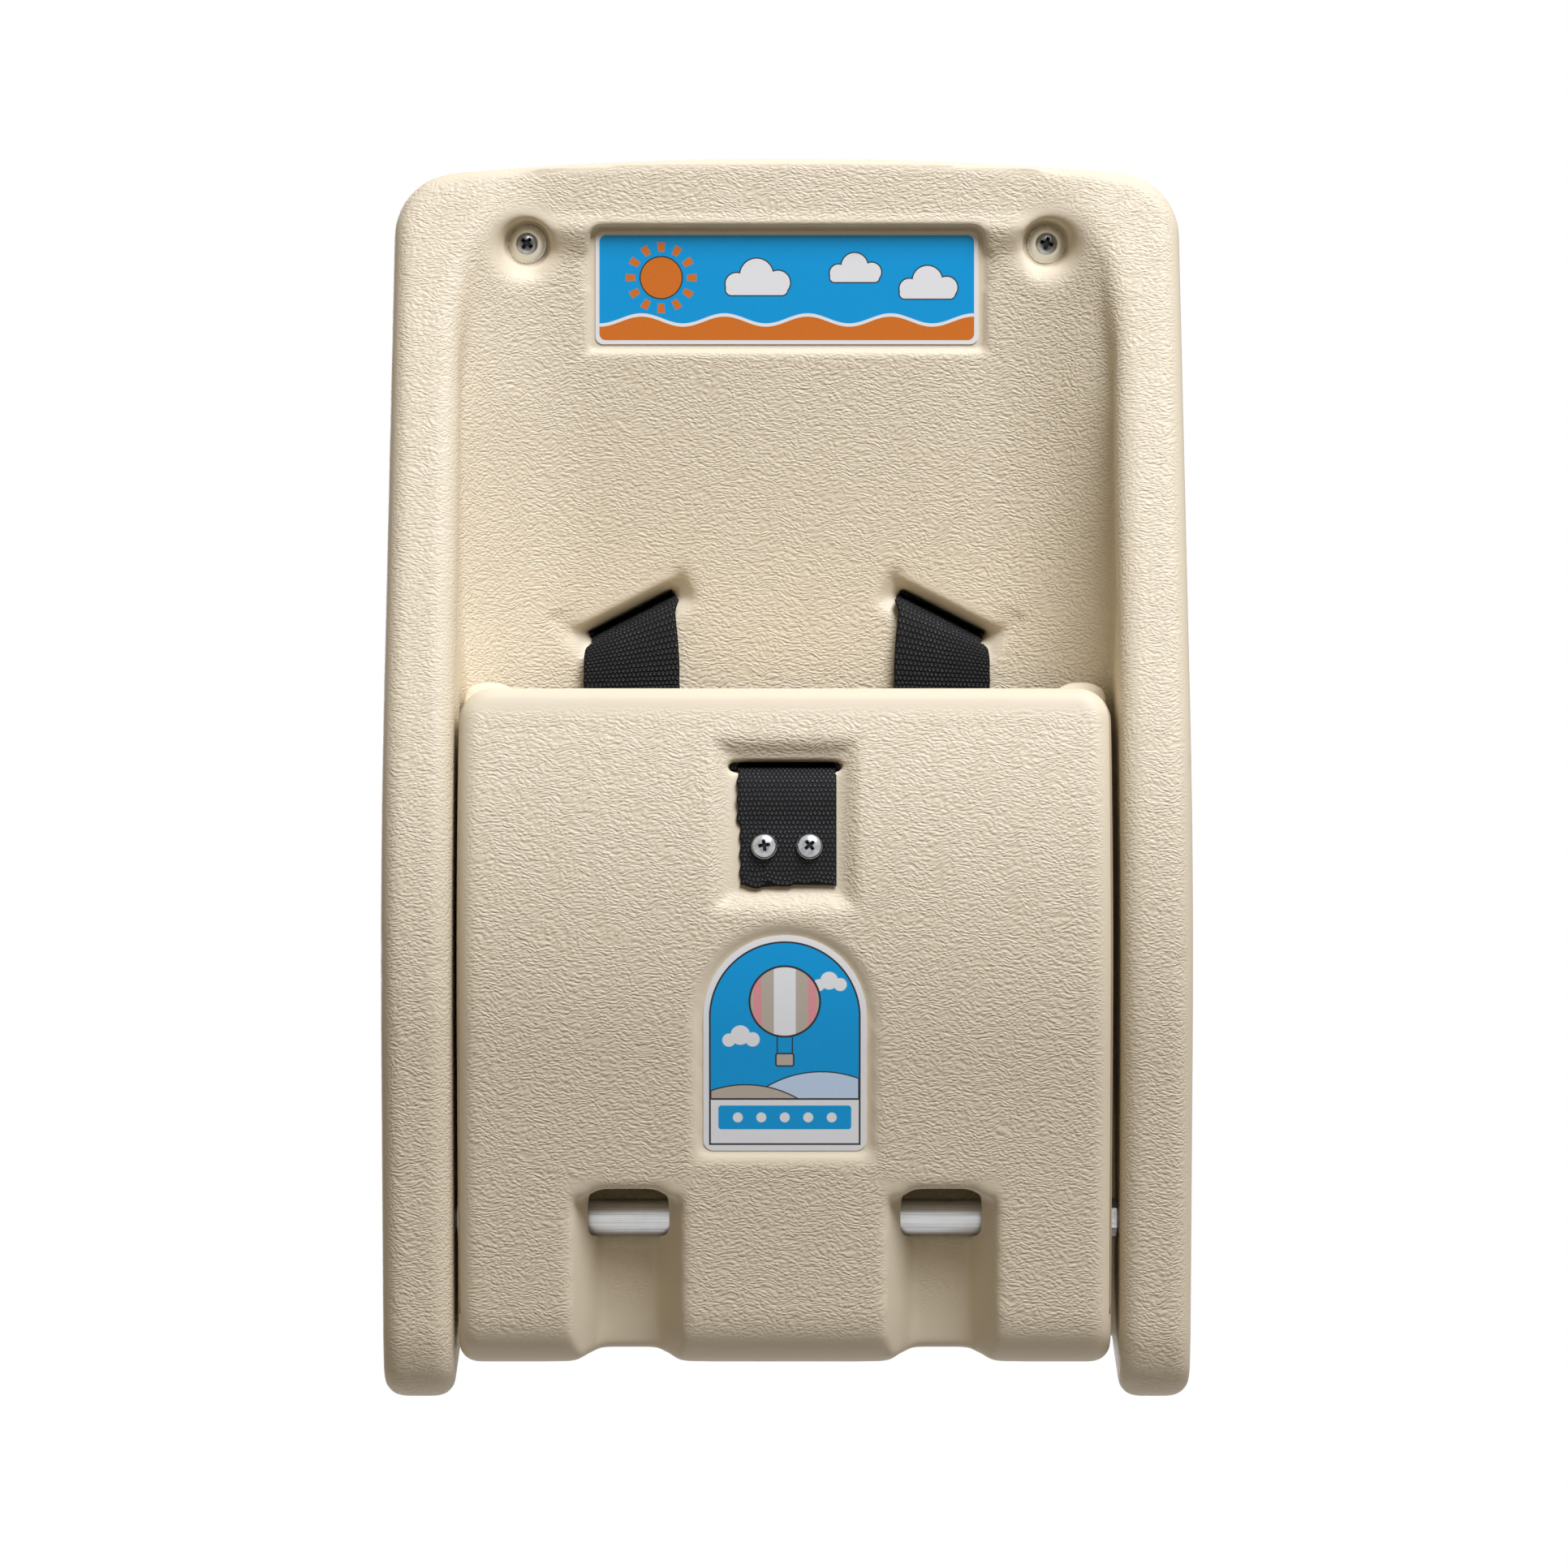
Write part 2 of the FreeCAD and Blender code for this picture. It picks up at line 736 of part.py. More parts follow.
def make_seat_shell():
    seat = rounded_seat_core()
    for side in (-1, 1):
        seat = seat.fuse(rounded_bolster(side))
    cuts = [crotch_pocket(0), arch_layer(0, -overcut, arch_recess_depth)]
    end = half_seat + overcut
    cuts.append(rod_along(pivot_point(-end), pivot_point(end), rod_diameter + 2 * rod_fit))
    for side in (-1, 1):
        cuts.append(channel_cut(side, 0))
        cuts.append(window_cut(side, 0))
    for across in screw_offsets():
        cuts.append(crotch_screw_hole(across, anchor_screw_diameter, anchor_screw_length))
    for cut in cuts:
        seat = seat.cut(cut)
    return seat.cut(seat_void())


# Screws, drawn with the seat of the head at the origin and the head above it
def cross_recess(head_height):
    bars = []
    for length, width in ((drive_length, drive_width), (drive_width, drive_length)):
        corner = FreeCAD.Vector(-length / 2, -width / 2, head_height - drive_depth)
        bars.append(Part.makeBox(length, width, drive_depth + overcut, corner))
    return bars[0].fuse(bars[1])


def domed_head(diameter, height):
    half = diameter / 2
    low = FreeCAD.Vector(half, 0, head_rim)
    top = FreeCAD.Vector(0, 0, height)
    crown = FreeCAD.Vector(half * math.sqrt(0.5), 0, head_rim + (height - head_rim) * math.sqrt(0.5))
    corners = [top, FreeCAD.Vector(), FreeCAD.Vector(half, 0, 0), low]
    edges = [Part.makeLine(a, b) for a, b in zip(corners, corners[1:])]
    edges.append(Part.Arc(low, crown, top).toShape())
    return Part.Face(Part.Wire(edges)).revolve(FreeCAD.Vector(), FreeCAD.Vector(0, 0, 1), 360)


def cross_screw(head, neck, thread, tip):
    # Head, neck and thread are (diameter, length); the thread ends in a point as long as the tip
    solid = domed_head(head[0], head[1]).cut(cross_recess(head[1]))
    half = thread[0] / 2
    end = -neck[1] - thread[1]
    plain = Part.makeCylinder(neck[0] / 2, neck[1], FreeCAD.Vector(0, 0, -neck[1]))
    shank = Part.makeCylinder(half, thread[1] - tip, FreeCAD.Vector(0, 0, end + tip))
    point = Part.makeCone(half / 4, half, tip, FreeCAD.Vector(0, 0, end))
    return solid.multiFuse([plain, shank, point])


def placed(shape, seat, up):
    copy = shape.copy()
    copy.Placement = FreeCAD.Placement(seat, FreeCAD.Rotation(FreeCAD.Vector(0, 0, 1), up))
    return copy


def make_wall_screws():
    seat = backrest_depth - screw_pocket_depth + wall_washer_thickness
    screw = cross_screw((wall_head_diameter, wall_head_height), (wall_screw_neck, seat),
                        (wall_screw_diameter, wall_screw_reach), wall_screw_tip)
    return [placed(screw, at(x, seat, height), FreeCAD.Vector(0, -1, 0)) for x, height in screw_places()]


def make_wall_washers():
    floor = backrest_depth - screw_pocket_depth
    top = floor + wall_washer_thickness
    bore = wall_screw_diameter + 2 * washer_fit
    return [ring(at(x, floor, height), at(x, top, height), wall_washer_diameter, bore)
            for x, height in screw_places()]


def anchor_screw():
    neck = web_gap + web_thickness + anchor_washer_thickness
    return cross_screw((anchor_head_diameter, anchor_head_height), (anchor_screw_neck, neck),
                       (anchor_screw_diameter, anchor_screw_length - web_gap), anchor_screw_tip)


def anchor_washer():
    bore = anchor_screw_diameter + 2 * washer_fit
    return ring(FreeCAD.Vector(), FreeCAD.Vector(0, 0, anchor_washer_thickness), anchor_washer_diameter, bore)


def at_shoulder_tails(shape, lift):
    # Copies of a fastener at both screws of both shoulder strap tails, on the wall side
    copies = []
    depth = tail_start - lift
    for side in (-1, 1):
        for across in screw_offsets():
            spot = FreeCAD.Vector(across, -depth, tail_screw_distance)
            copies.append(in_slot_frame(placed(shape, spot, FreeCAD.Vector(0, 1, 0)), side))
    return copies


def at_crotch_tail(shape, lift):
    # Copies of a fastener at both screws of the crotch strap's tail
    copies = []
    inset = crotch_tail_inset - lift
    for across in screw_offsets():
        start, end = crotch_screw_line(across, inset, inset + overcut)
        copies.append(on_seat(placed(shape, start, start.sub(end))))
    return copies


# Pivot pieces
def hexagon(flats, start, length):
    # A hexagonal prism along X
    radius = flats / math.sqrt(3)
    points = []
    for corner in range(7):
        angle = math.radians(60 * corner)
        points.append(start.add(FreeCAD.Vector(0, radius * math.sin(angle), radius * math.cos(angle))))
    return Part.Face(Part.makePolygon(points)).extrude(FreeCAD.Vector(length, 0, 0))


def make_pivot_rod():
    return on_seat(ring(pivot_point(-half_seat), pivot_point(half_seat), rod_diameter, rod_bore))


def make_bush(side):
    floor = counterbore_floor(side)
    barrel = rod_along(pivot_point(side * half_opening), pivot_point(floor), bush_diameter)
    flange = rod_along(pivot_point(floor), pivot_point(floor + side * bush_flange), bush_flange_diameter)
    hole = rod_along(pivot_point(side * (half_opening - overcut)), pivot_point(side * half_frame), bush_bore)
    return barrel.fuse(flange).cut(hole)


def head_seat(side):
    # Where the bolt head's washer starts, a running gap outside the bush
    return counterbore_floor(side) + side * (bush_flange + running_gap)


def make_head_washer(side):
    start = head_seat(side)
    end = start + side * head_washer_thickness
    return ring(pivot_point(start), pivot_point(end), bolt_head_diameter + 2 * head_washer_rim, rod_bore)


def make_pivot_bolt(side):
    seat = head_seat(side) + side * head_washer_thickness
    top = seat + side * bolt_head_height
    rod_end = side * half_seat - seat_offset
    head = rod_along(pivot_point(seat), pivot_point(top), bolt_head_diameter)
    head = rounded(head, head_rim, lambda edge: abs(middle(edge)[0] - top) < touching)
    shank = rod_along(pivot_point(rod_end - side * bolt_grip), pivot_point(seat), rod_bore)
    key_depth = side * bolt_socket_depth
    key = hexagon(bolt_socket_flats, pivot_point(top - key_depth), key_depth + side * overcut)
    return head.fuse(shank).cut(key)


def make_jam_nut():
    start = half_seat - seat_offset
    nut = hexagon(jam_nut_flats, pivot_point(start), jam_nut_thickness)
    return nut.cut(rod_along(pivot_point(start - overcut), pivot_point(half_frame), rod_bore))


def make_thrust_washer():
    start = -half_seat - seat_offset
    end = start - thrust_washer_thickness
    return ring(pivot_point(start), pivot_point(end), rod_bore + 2 * thrust_washer_rim, rod_bore)


# Harness
def make_shoulder_strap(side):
    half = web_thickness / 2
    tail = level_box((-half_web, half_web), (tail_start, tail_start + web_thickness), (-half, tail_length))
    tunnel = level_box((-half_web, half_web), (tail_start, strap_front), (-half, half))
    anchor = tail.fuse(tunnel)
    for across in screw_offsets():
        spot = FreeCAD.Vector(across, 0, tail_screw_distance)
        hole = Part.makeCylinder(anchor_screw_diameter / 2 + washer_fit, far, spot, FreeCAD.Vector(0, -1, 0))
        anchor = anchor.cut(hole)
    slope = math.radians(slot_slope)
    reach = half_web * math.cos(slope)
    rise = half_web * math.sin(slope)
    inner = -slot_across + half_web
    outer = -slot_across - half_web
    seam = -web_gap
    fold = strap_fold_height - web_width * (math.sqrt(2) - 1)
    outline = [(-slot_across - reach, slot_centre_height - rise),
               (-slot_across + reach, slot_centre_height + rise),
               (inner, strap_fold_height + web_thickness), (inner, strap_fold_height),
               (seam, strap_fold_height + inner - seam), (seam, fold + outer - seam),
               (outer, fold), (outer, strap_fold_height + web_thickness)]
    fall = prism_out(outline, strap_front - web_thickness, strap_front)
    if side > 0:
        fall = fall.mirror(FreeCAD.Vector(), FreeCAD.Vector(1, 0, 0))
    return in_slot_frame(anchor, side).fuse(fall)


def make_harness_stub():
    start = strap_front + web_gap
    return box_between((-half_web, half_web), (start, start + web_thickness), (stub_bottom, stub_top))


def make_buckle_socket():
    middle_depth = strap_front + web_gap + web_thickness / 2
    thick = socket_thickness / 2
    top = stub_bottom + buckle_grip
    low = top - socket_length
    body = box_between((-half_buckle, half_buckle), (middle_depth - thick, middle_depth + thick), (low, top))
    body = rounded(body, socket_corner, runs_out)

    def on_face(edge):
        return abs(abs(middle(edge)[1] - middle_depth) - thick) < touching

    body = rounded(body, socket_edge, on_face)
    deep = thick - socket_wall
    mouth = box_between((-half_mouth, half_mouth), (middle_depth - deep, middle_depth + deep),
                        (low - overcut, low + socket_mouth_length))
    wide = half_web + web_gap
    deep = web_thickness / 2 + web_gap
    entry = box_between((-wide, wide), (middle_depth - deep, middle_depth + deep),
                        (stub_bottom - web_gap, top + overcut))
    body = body.cut(mouth).cut(entry)
    for side in (-1, 1):
        span = sorted((side * (half_buckle - socket_latch_depth), side * (half_buckle + overcut)))
        rise = low + socket_latch_rise
        body = body.cut(box_between(span, (0, far), (rise, rise + socket_latch_height)))
    return body


def make_crotch_strap():
    outer = crotch_tail_inset
    inner = seat_thickness + web_gap
    half = web_thickness / 2
    top = crotch_slot_height + half
    low = crotch_slot_height - crotch_tail_length
    tail = front_skin(outer, outer + web_thickness, low, top, -half_web, half_web)
    for across in screw_offsets():
        tail = tail.cut(crotch_screw_hole(across, anchor_screw_diameter + 2 * washer_fit, 0))
    depths = (front_depth(top, inner + web_thickness), front_depth(top, outer))
    through = box_between((-half_web, half_web), depths, (crotch_slot_height - half, top))
    fall = front_skin(inner, inner + web_thickness, tongue_joint, top, -half_web, half_web)
    return on_seat(tail.fuse(through).fuse(fall))


def make_buckle_tongue():
    outer = seat_thickness + web_gap
    top = tongue_joint + buckle_grip
    low = top - tongue_body_length
    body = front_skin(outer, outer + tongue_thickness, low, top, -half_buckle, half_buckle)
    body = rounded(body, tongue_corner, runs_through)
    inner = outer + tongue_thickness - tongue_step
    tip = low - tongue_prong_length
    guide = tongue_guide_width / 2
    reach = half_mouth - buckle_fit
    spans = [(-guide, guide), (-reach, tongue_prong_width - reach), (reach - tongue_prong_width, reach)]
    for left, right in spans:
        body = body.fuse(front_skin(outer + tongue_step, inner, tip, low + overcut, left, right))
    wide = half_web + web_gap
    gap = outer + web_thickness + web_gap
    entry = front_skin(outer - overcut, gap, tongue_joint - web_gap, top + overcut, -wide, wide)
    return on_seat(body.cut(entry))


# Labels
def make_back_label():
    floor = backrest_depth - back_recess_depth
    return plate(back_label_width, back_label_height, back_label_corner, floor, floor + label_thickness,
                 back_label_centre)


def make_seat_label():
    return on_seat(arch_layer(arch_label_margin, arch_recess_depth - label_thickness, arch_recess_depth))


def save(name, *shapes):
    solids = []
    for shape in shapes:
        solids += shape.Solids
    group = Part.makeCompound(solids) if len(solids) > 1 else solids[0]
    group.exportStep("parts/" + name + ".step")
    print(name, len(solids), round(group.Volume, 1), group.isValid())


def main():
    os.makedirs("parts", exist_ok=True)
    save("back_frame", make_back_frame())
    save("seat_shell", on_seat(make_seat_shell()))
    save("pivot_rod", make_pivot_rod())
    save("left_pivot_bolt", make_pivot_bolt(-1))
    save("right_pivot_bolt", make_pivot_bolt(1))
    save("pivot_head_washers", make_head_washer(-1), make_head_washer(1))
    save("pivot_bushes", make_bush(-1), make_bush(1))
    save("pivot_jam_nut", make_jam_nut())
    save("pivot_thrust_washer", make_thrust_washer())
    save("wall_screws", *make_wall_screws())
    save("wall_washers", *make_wall_washers())
    save("left_shoulder_strap", make_shoulder_strap(-1))
    save("right_shoulder_strap", make_shoulder_strap(1))
    save("shoulder_screws", *at_shoulder_tails(anchor_screw(), anchor_washer_thickness))
    save("shoulder_washers", *at_shoulder_tails(anchor_washer(), 0))
    save("harness_stub", make_harness_stub())
    save("buckle_socket", make_buckle_socket())
    save("crotch_strap", make_crotch_strap())
    save("crotch_screws", *at_crotch_tail(anchor_screw(), anchor_washer_thickness))
    save("crotch_washers", *at_crotch_tail(anchor_washer(), 0))
    save("buckle_tongue", make_buckle_tongue())
    save("back_label", make_back_label())
    save("seat_label", make_seat_label())


if __name__ == "__main__":
    main()
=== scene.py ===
import bisect
import json
import math
import bpy
from mathutils import Matrix, Vector, noise

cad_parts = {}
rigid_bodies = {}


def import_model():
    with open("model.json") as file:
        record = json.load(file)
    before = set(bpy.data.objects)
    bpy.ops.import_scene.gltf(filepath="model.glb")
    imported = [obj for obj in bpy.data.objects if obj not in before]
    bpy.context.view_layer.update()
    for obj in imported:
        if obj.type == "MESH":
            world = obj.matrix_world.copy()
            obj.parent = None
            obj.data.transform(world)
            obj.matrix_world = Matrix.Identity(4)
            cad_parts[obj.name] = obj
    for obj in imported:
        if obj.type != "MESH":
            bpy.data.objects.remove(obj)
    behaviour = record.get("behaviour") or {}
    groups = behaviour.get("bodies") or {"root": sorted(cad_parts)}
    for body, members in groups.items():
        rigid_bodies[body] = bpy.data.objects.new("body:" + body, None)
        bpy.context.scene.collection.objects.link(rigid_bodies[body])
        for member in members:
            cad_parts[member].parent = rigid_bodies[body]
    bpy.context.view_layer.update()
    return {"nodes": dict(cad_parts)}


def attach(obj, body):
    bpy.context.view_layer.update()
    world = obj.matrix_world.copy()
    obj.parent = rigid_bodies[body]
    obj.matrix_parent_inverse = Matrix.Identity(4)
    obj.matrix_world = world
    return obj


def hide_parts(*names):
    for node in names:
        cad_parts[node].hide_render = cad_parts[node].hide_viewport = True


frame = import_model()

nodes = frame["nodes"]
for leftover in [obj for obj in bpy.data.objects if obj.type != "EMPTY" and obj.name not in nodes]:
    bpy.data.objects.remove(leftover)
print("frame loaded with", len(nodes), "CAD nodes")

mm = 0.001
zeroHeight = 300.9  # the frame's origin above the lowest edge of the wings, in mm
frontLine = {"depth": 147.0, "height": 170.0, "radius": 320.0, "upperLean": 18.5, "lowerLean": 6.0}
seatShift = -0.8  # the seat stands this far left of the middle


def at(x, depth, height):  # mm out from the wall and up from the lowest edge
    return Vector((x, -depth, height - zeroHeight)) * mm


def spotOf(point):  # the same x, depth and height of a mesh's point
    return point.co.x / mm, -point.co.y / mm, point.co.z / mm + zeroHeight


def frontDepth(height, inset=0.0):  # the front line of the wings and of the seat's underside
    radius = frontLine["radius"] - inset
    up = math.radians(frontLine["upperLean"])
    down = math.radians(frontLine["lowerLean"])
    high = frontLine["height"] + radius * math.sin(up)
    low = frontLine["height"] - radius * math.sin(down)
    rise = min(max(height, low), high) - frontLine["height"]
    depth = frontLine["depth"] - frontLine["radius"] + math.sqrt(radius ** 2 - rise ** 2)
    return depth - max(height - high, 0) * math.tan(up) - max(low - height, 0) * math.tan(down)


def fade(value, start, end):  # 0 at the start, 1 at the end, eased between
    share = min(max((value - start) / (end - start), 0.0), 1.0)
    return share * share * (3 - 2 * share)


# Camera and studio
photoView = {"x": -1.1, "depth": 2347.0, "height": 238.0, "lens": 132.07}
studio = {"above": (0.205, 0.16, 0.098, 1), "below": (0.064, 0.041, 0.017, 1), "key": 220.0, "keySize": 2.2,
          "keyAway": 4.0, "keyTurn": 30, "keyRise": 55, "keyTint": (0.975, 1.005, 1.11), "rear": 80.0,
          "rearTurn": 200, "rearRise": 6, "floorDrop": 1.5, "floorRadius": 1.0}

bpy.ops.object.camera_add(location=at(photoView["x"], photoView["depth"], photoView["height"]),
                          rotation=(math.radians(90), 0, 0))
camera = bpy.context.object
camera.data.lens = photoView["lens"]
camera.data.clip_end = 50
bpy.context.scene.camera = camera
bpy.context.scene.view_settings.view_transform = "Standard"


def areaLight(name, turn, rise, away, size, power):
    turn, rise = math.radians(turn), math.radians(rise)
    way = Vector((math.sin(turn) * math.cos(rise), -math.cos(turn) * math.cos(rise), math.sin(rise)))
    bpy.ops.object.light_add(type="AREA", location=way * away)
    light = bpy.context.object
    light.name = name
    light.rotation_euler = way.to_track_quat("Z", "Y").to_euler()
    light.data.shape = "DISK"
    light.data.size = size
    light.data.energy = power
    light.data.color = studio["keyTint"]


areaLight("keyLight", studio["keyTurn"], studio["keyRise"], studio["keyAway"], studio["keySize"], studio["key"])
areaLight("rearLight", studio["rearTurn"], studio["rearRise"], studio["keyAway"], studio["keySize"],
          studio["rear"])


# Shader nodes
class Wire:  # one socket of a node, so that sums are written as sums
    def __init__(self, owner, socket):
        self.owner = owner
        self.socket = socket

    def do(self, how, *others):
        return self.owner.maths(how, self, *others)

    def __add__(self, other):
        return self.do("ADD", other)

    def __sub__(self, other):
        return self.do("SUBTRACT", other)

    def __rsub__(self, other):
        return self.owner.maths("SUBTRACT", other, self)

    def __mul__(self, other):
        return self.do("MULTIPLY", other)

    def __abs__(self):
        return self.do("ABSOLUTE")

    __radd__ = __add__
    __rmul__ = __mul__


class Tree:  # the nodes of the sky or of a material
    def __init__(self, tree):
        self.tree = tree

    def node(self, kind, settings, inputs, output=0):
        made = self.tree.nodes.new(kind)
        for setting, value in settings.items():
            setattr(made, setting, value)
        for socket, value in inputs.items():
            if isinstance(value, Wire):
                self.tree.links.new(value.socket, made.inputs[socket])
            else:
                made.inputs[socket].default_value = value
        return Wire(self, made.outputs[output])

    def maths(self, how, *values):
        return self.node("ShaderNodeMath", {"operation": how}, dict(enumerate(values)))

    def mask(self, value, start, end):  # 0 at the start, 1 at the end
        return self.node("ShaderNodeMapRange", {"interpolation_type": "SMOOTHSTEP"},
                         {"Value": value, "From Min": start, "From Max": end})

    def mix(self, share, first, second):
        return self.node("ShaderNodeMix", {"data_type": "RGBA"}, {0: share, 6: first, 7: second}, 2)

    def place(self):
        return self.node("ShaderNodeTexCoord", {}, {}, "Object")

    def split(self, vector):
        parts = self.node("ShaderNodeSeparateXYZ", {}, {0: vector}).socket.node.outputs
        return [Wire(self, part) for part in parts]

    def noise(self, vector, scale, detail=2.0, output="Fac"):
        return self.node("ShaderNodeTexNoise", {}, {"Vector": vector, "Scale": scale, "Detail": detail}, output)

    def bump(self, height, distance, strength=1.0):
        return self.node("ShaderNodeBump", {}, {"Strength": strength, "Distance": distance, "Height": height})


class Finish(Tree):  # a material under way: its shader and what feeds it
    def __init__(self, name, **fixed):
        self.material = bpy.data.materials.new(name)
        self.material.use_nodes = True
        super().__init__(self.material.node_tree)
        self.shader = self.tree.nodes["Principled BSDF"]
        for socket, value in fixed.items():
            self.shader.inputs[socket.replace("_", " ")].default_value = value

    def feed(self, **wires):
        for socket, wire in wires.items():
            self.tree.links.new(wire.socket, self.shader.inputs[socket.replace("_", " ")])
        return self.material


def rgb(red, green, blue):
    return (red, green, blue, 1.0)


# Sky: tinted where it lights the part, white where it is seen or mirrored
world = bpy.data.worlds.new("studioWorld")
bpy.context.scene.world = world
world.use_nodes = True
sky = Tree(world.node_tree)
sky.tree.nodes.clear()
skyRise = sky.node("ShaderNodeMapRange", {}, {
    "Value": sky.split(sky.node("ShaderNodeTexCoord", {}, {}, "Generated"))[2], "From Min": -0.5, "From Max": 0.5})
litSky = sky.node("ShaderNodeBackground", {}, {"Color": sky.mix(skyRise, studio["below"], studio["above"])})
shownSky = sky.node("ShaderNodeBackground", {}, {"Color": rgb(1, 1, 1)})
cameraRay, glossyRay, clearRay = [sky.node("ShaderNodeLightPath", {}, {}, "Is " + kind + " Ray")
                                  for kind in ("Camera", "Glossy", "Transmission")]
seen = sky.maths("MAXIMUM", cameraRay, sky.maths("MAXIMUM", glossyRay, clearRay))
wholeSky = sky.node("ShaderNodeMixShader", {}, {0: seen, 1: litSky, 2: shownSky})
worldOut = sky.tree.nodes.new("ShaderNodeOutputWorld")
sky.tree.links.new(wholeSky.socket, worldOut.inputs["Surface"])


# Materials
def grainedPlastic():
    look = {"colour": rgb(0.737, 0.648, 0.484), "deep": rgb(0.655, 0.56, 0.395), "cell": 1050.0, "relief": 0.0004,
            "wander": 0.008, "drift": 80.0, "stretch": (0.44, 1.0, 1.0), "soft": 0.2, "fine": 2400.0,
            "fineShare": 0.14, "mottle": 16.0, "rough": 0.5}
    made = Finish("grainedPlastic", IOR=1.49)
    spot = made.place()
    drift = made.noise(spot, look["drift"], 2.0, "Color")
    bent = made.node("ShaderNodeVectorMath", {"operation": "MULTIPLY_ADD"},
                     {0: drift, 1: (look["wander"],) * 3, 2: spot})
    long = made.node("ShaderNodeMapping", {}, {"Vector": bent, "Scale": look["stretch"]})
    pebble = made.node("ShaderNodeTexVoronoi", {"feature": "SMOOTH_F1"},
                       {"Vector": long, "Scale": look["cell"], "Smoothness": look["soft"]}, "Distance")
    fine = made.noise(long, look["fine"], 2.0)
    grain = made.node("ShaderNodeAttribute", {"attribute_name": "grain"}, {}, "Fac")
    height = (0.9 - pebble + fine * look["fineShare"]) * grain
    mottle = made.noise(spot, look["mottle"], 3.0)
    # painted shade: the valleys of the pebble grain are darkened in the base colour
    paintedValleyShade = made.mask(pebble, 0.35, 0.75) * grain * 0.35
    tone = made.mix(paintedValleyShade + made.mask(mottle, 0.35, 0.7) * 0.1, look["colour"], look["deep"])
    rough = look["rough"] + made.noise(spot, 60.0) * 0.1 - grain * 0.04
    return made.feed(Base_Color=tone, Roughness=rough, Normal=made.bump(height, look["relief"]))


def smoothPlastic(name, colour, worn, rough, relief=0.00004):
    made = Finish(name, IOR=1.49)
    spot = made.place()
    cloud = made.noise(spot, 45.0, 3.0)
    speck = made.noise(spot, 2600.0, 2.0)
    tone = made.mix(made.mask(cloud, 0.4, 0.75) * 0.5, colour, worn)
    return made.feed(Base_Color=tone, Roughness=rough + cloud * 0.12, Normal=made.bump(speck, relief))


def brightMetal(name, colour, darker, rough, streak, relief=0.000012):  # streak: fineness of the brushing per axis
    made = Finish(name, Metallic=1.0)
    spot = made.place()
    drawn = made.node("ShaderNodeMapping", {}, {"Vector": spot, "Scale": streak})
    lines = made.noise(drawn, 1.0, 4.0)
    cloud = made.noise(spot, 180.0, 3.0)
    tone = made.mix(made.mask(lines, 0.38, 0.68) * 0.75 + made.mask(cloud, 0.4, 0.8) * 0.15, colour, darker)
    return made.feed(Base_Color=tone, Roughness=rough + lines * 0.16 + cloud * 0.06,
                     Normal=made.bump(lines, relief))


def platedSteel():  # bright plating, with painted shade in the drive and a painted dark reflection over the dome, pale and satin on a flange
    look = {"bright": rgb(0.52, 0.53, 0.54), "cloudy": rgb(0.36, 0.36, 0.37), "paintedShadeAndReflection": rgb(0.035, 0.035, 0.035),
            "flange": rgb(0.66, 0.62, 0.5), "rough": 0.16}
    made = Finish("platedSteel", Metallic=1.0)
    spot = made.place()
    cloud = made.noise(spot, 420.0, 3.0)
    paintedShadeAndReflection = made.node("ShaderNodeAttribute", {"attribute_name": "paintedShadeAndReflection"}, {}, "Fac")
    clean = made.mix(made.mask(cloud, 0.35, 0.75), look["bright"], look["cloudy"])
    flange = made.node("ShaderNodeAttribute", {"attribute_name": "flange"}, {}, "Fac")
    # painted shade in the cross drive and a painted dark reflection on the dome darken the base colour
    tone = made.mix(made.mask(paintedShadeAndReflection + cloud * 0.3, 0.25, 1.1), clean, look["paintedShadeAndReflection"])
    tone = made.mix(flange, tone, look["flange"])
    rough = look["rough"] + cloud * 0.1 + paintedShadeAndReflection * 0.2 + flange * 0.25
    return made.feed(Base_Color=tone, Roughness=rough, Normal=made.bump(cloud, 0.00001))


beigePlastic = grainedPlastic()
# the seam is coloured dark brown, far darker than the beige moulding
seamPlastic = smoothPlastic("seamPlastic", rgb(0.36, 0.27, 0.16), rgb(0.45, 0.36, 0.24), 0.5)
bushPlastic = smoothPlastic("bushPlastic", rgb(0.8, 0.78, 0.72), rgb(0.7, 0.68, 0.6), 0.4)
bucklePlastic = smoothPlastic("bucklePlastic", rgb(0.012, 0.012, 0.013), rgb(0.03, 0.03, 0.03), 0.35,
                              0.00008)
screwSteel = platedSteel()
washerSteel = brightMetal("washerSteel", rgb(0.66, 0.65, 0.62), rgb(0.42, 0.41, 0.39), 0.22,
                          (900.0, 900.0, 900.0))
nutSteel = brightMetal("nutSteel", rgb(0.72, 0.72, 0.72), rgb(0.5, 0.49, 0.47), 0.22, (500.0, 900.0, 900.0))
rodMetal = brightMetal("rodMetal", rgb(0.62, 0.62, 0.62), rgb(0.36, 0.36, 0.36), 0.26,
                       (14.0, 2400.0, 2400.0), 0.00003)
print("materials made")


# Modelling helpers
def only(obj):
    bpy.ops.object.select_all(action="DESELECT")
    obj.select_set(True)
    bpy.context.view_layer.objects.active = obj


def modify(obj, kind, **settings):
    only(obj)
    added = obj.modifiers.new(kind.title(), kind)
    for setting, value in settings.items():
        setattr(added, setting, value)
    bpy.ops.object.modifier_apply(modifier=added.name)


weldReach = 1e-6


def closeUp(obj):  # merge what meets, close the ends, turn the faces outwards
    only(obj)
    bpy.ops.object.mode_set(mode="EDIT")
    bpy.ops.mesh.select_all(action="SELECT")
    bpy.ops.mesh.remove_doubles(threshold=weldReach)
    bpy.ops.mesh.fill_holes(sides=0)
    bpy.ops.mesh.select_all(action="SELECT")
    bpy.ops.mesh.normals_make_consistent(inside=False)
    bpy.ops.object.mode_set(mode="OBJECT")


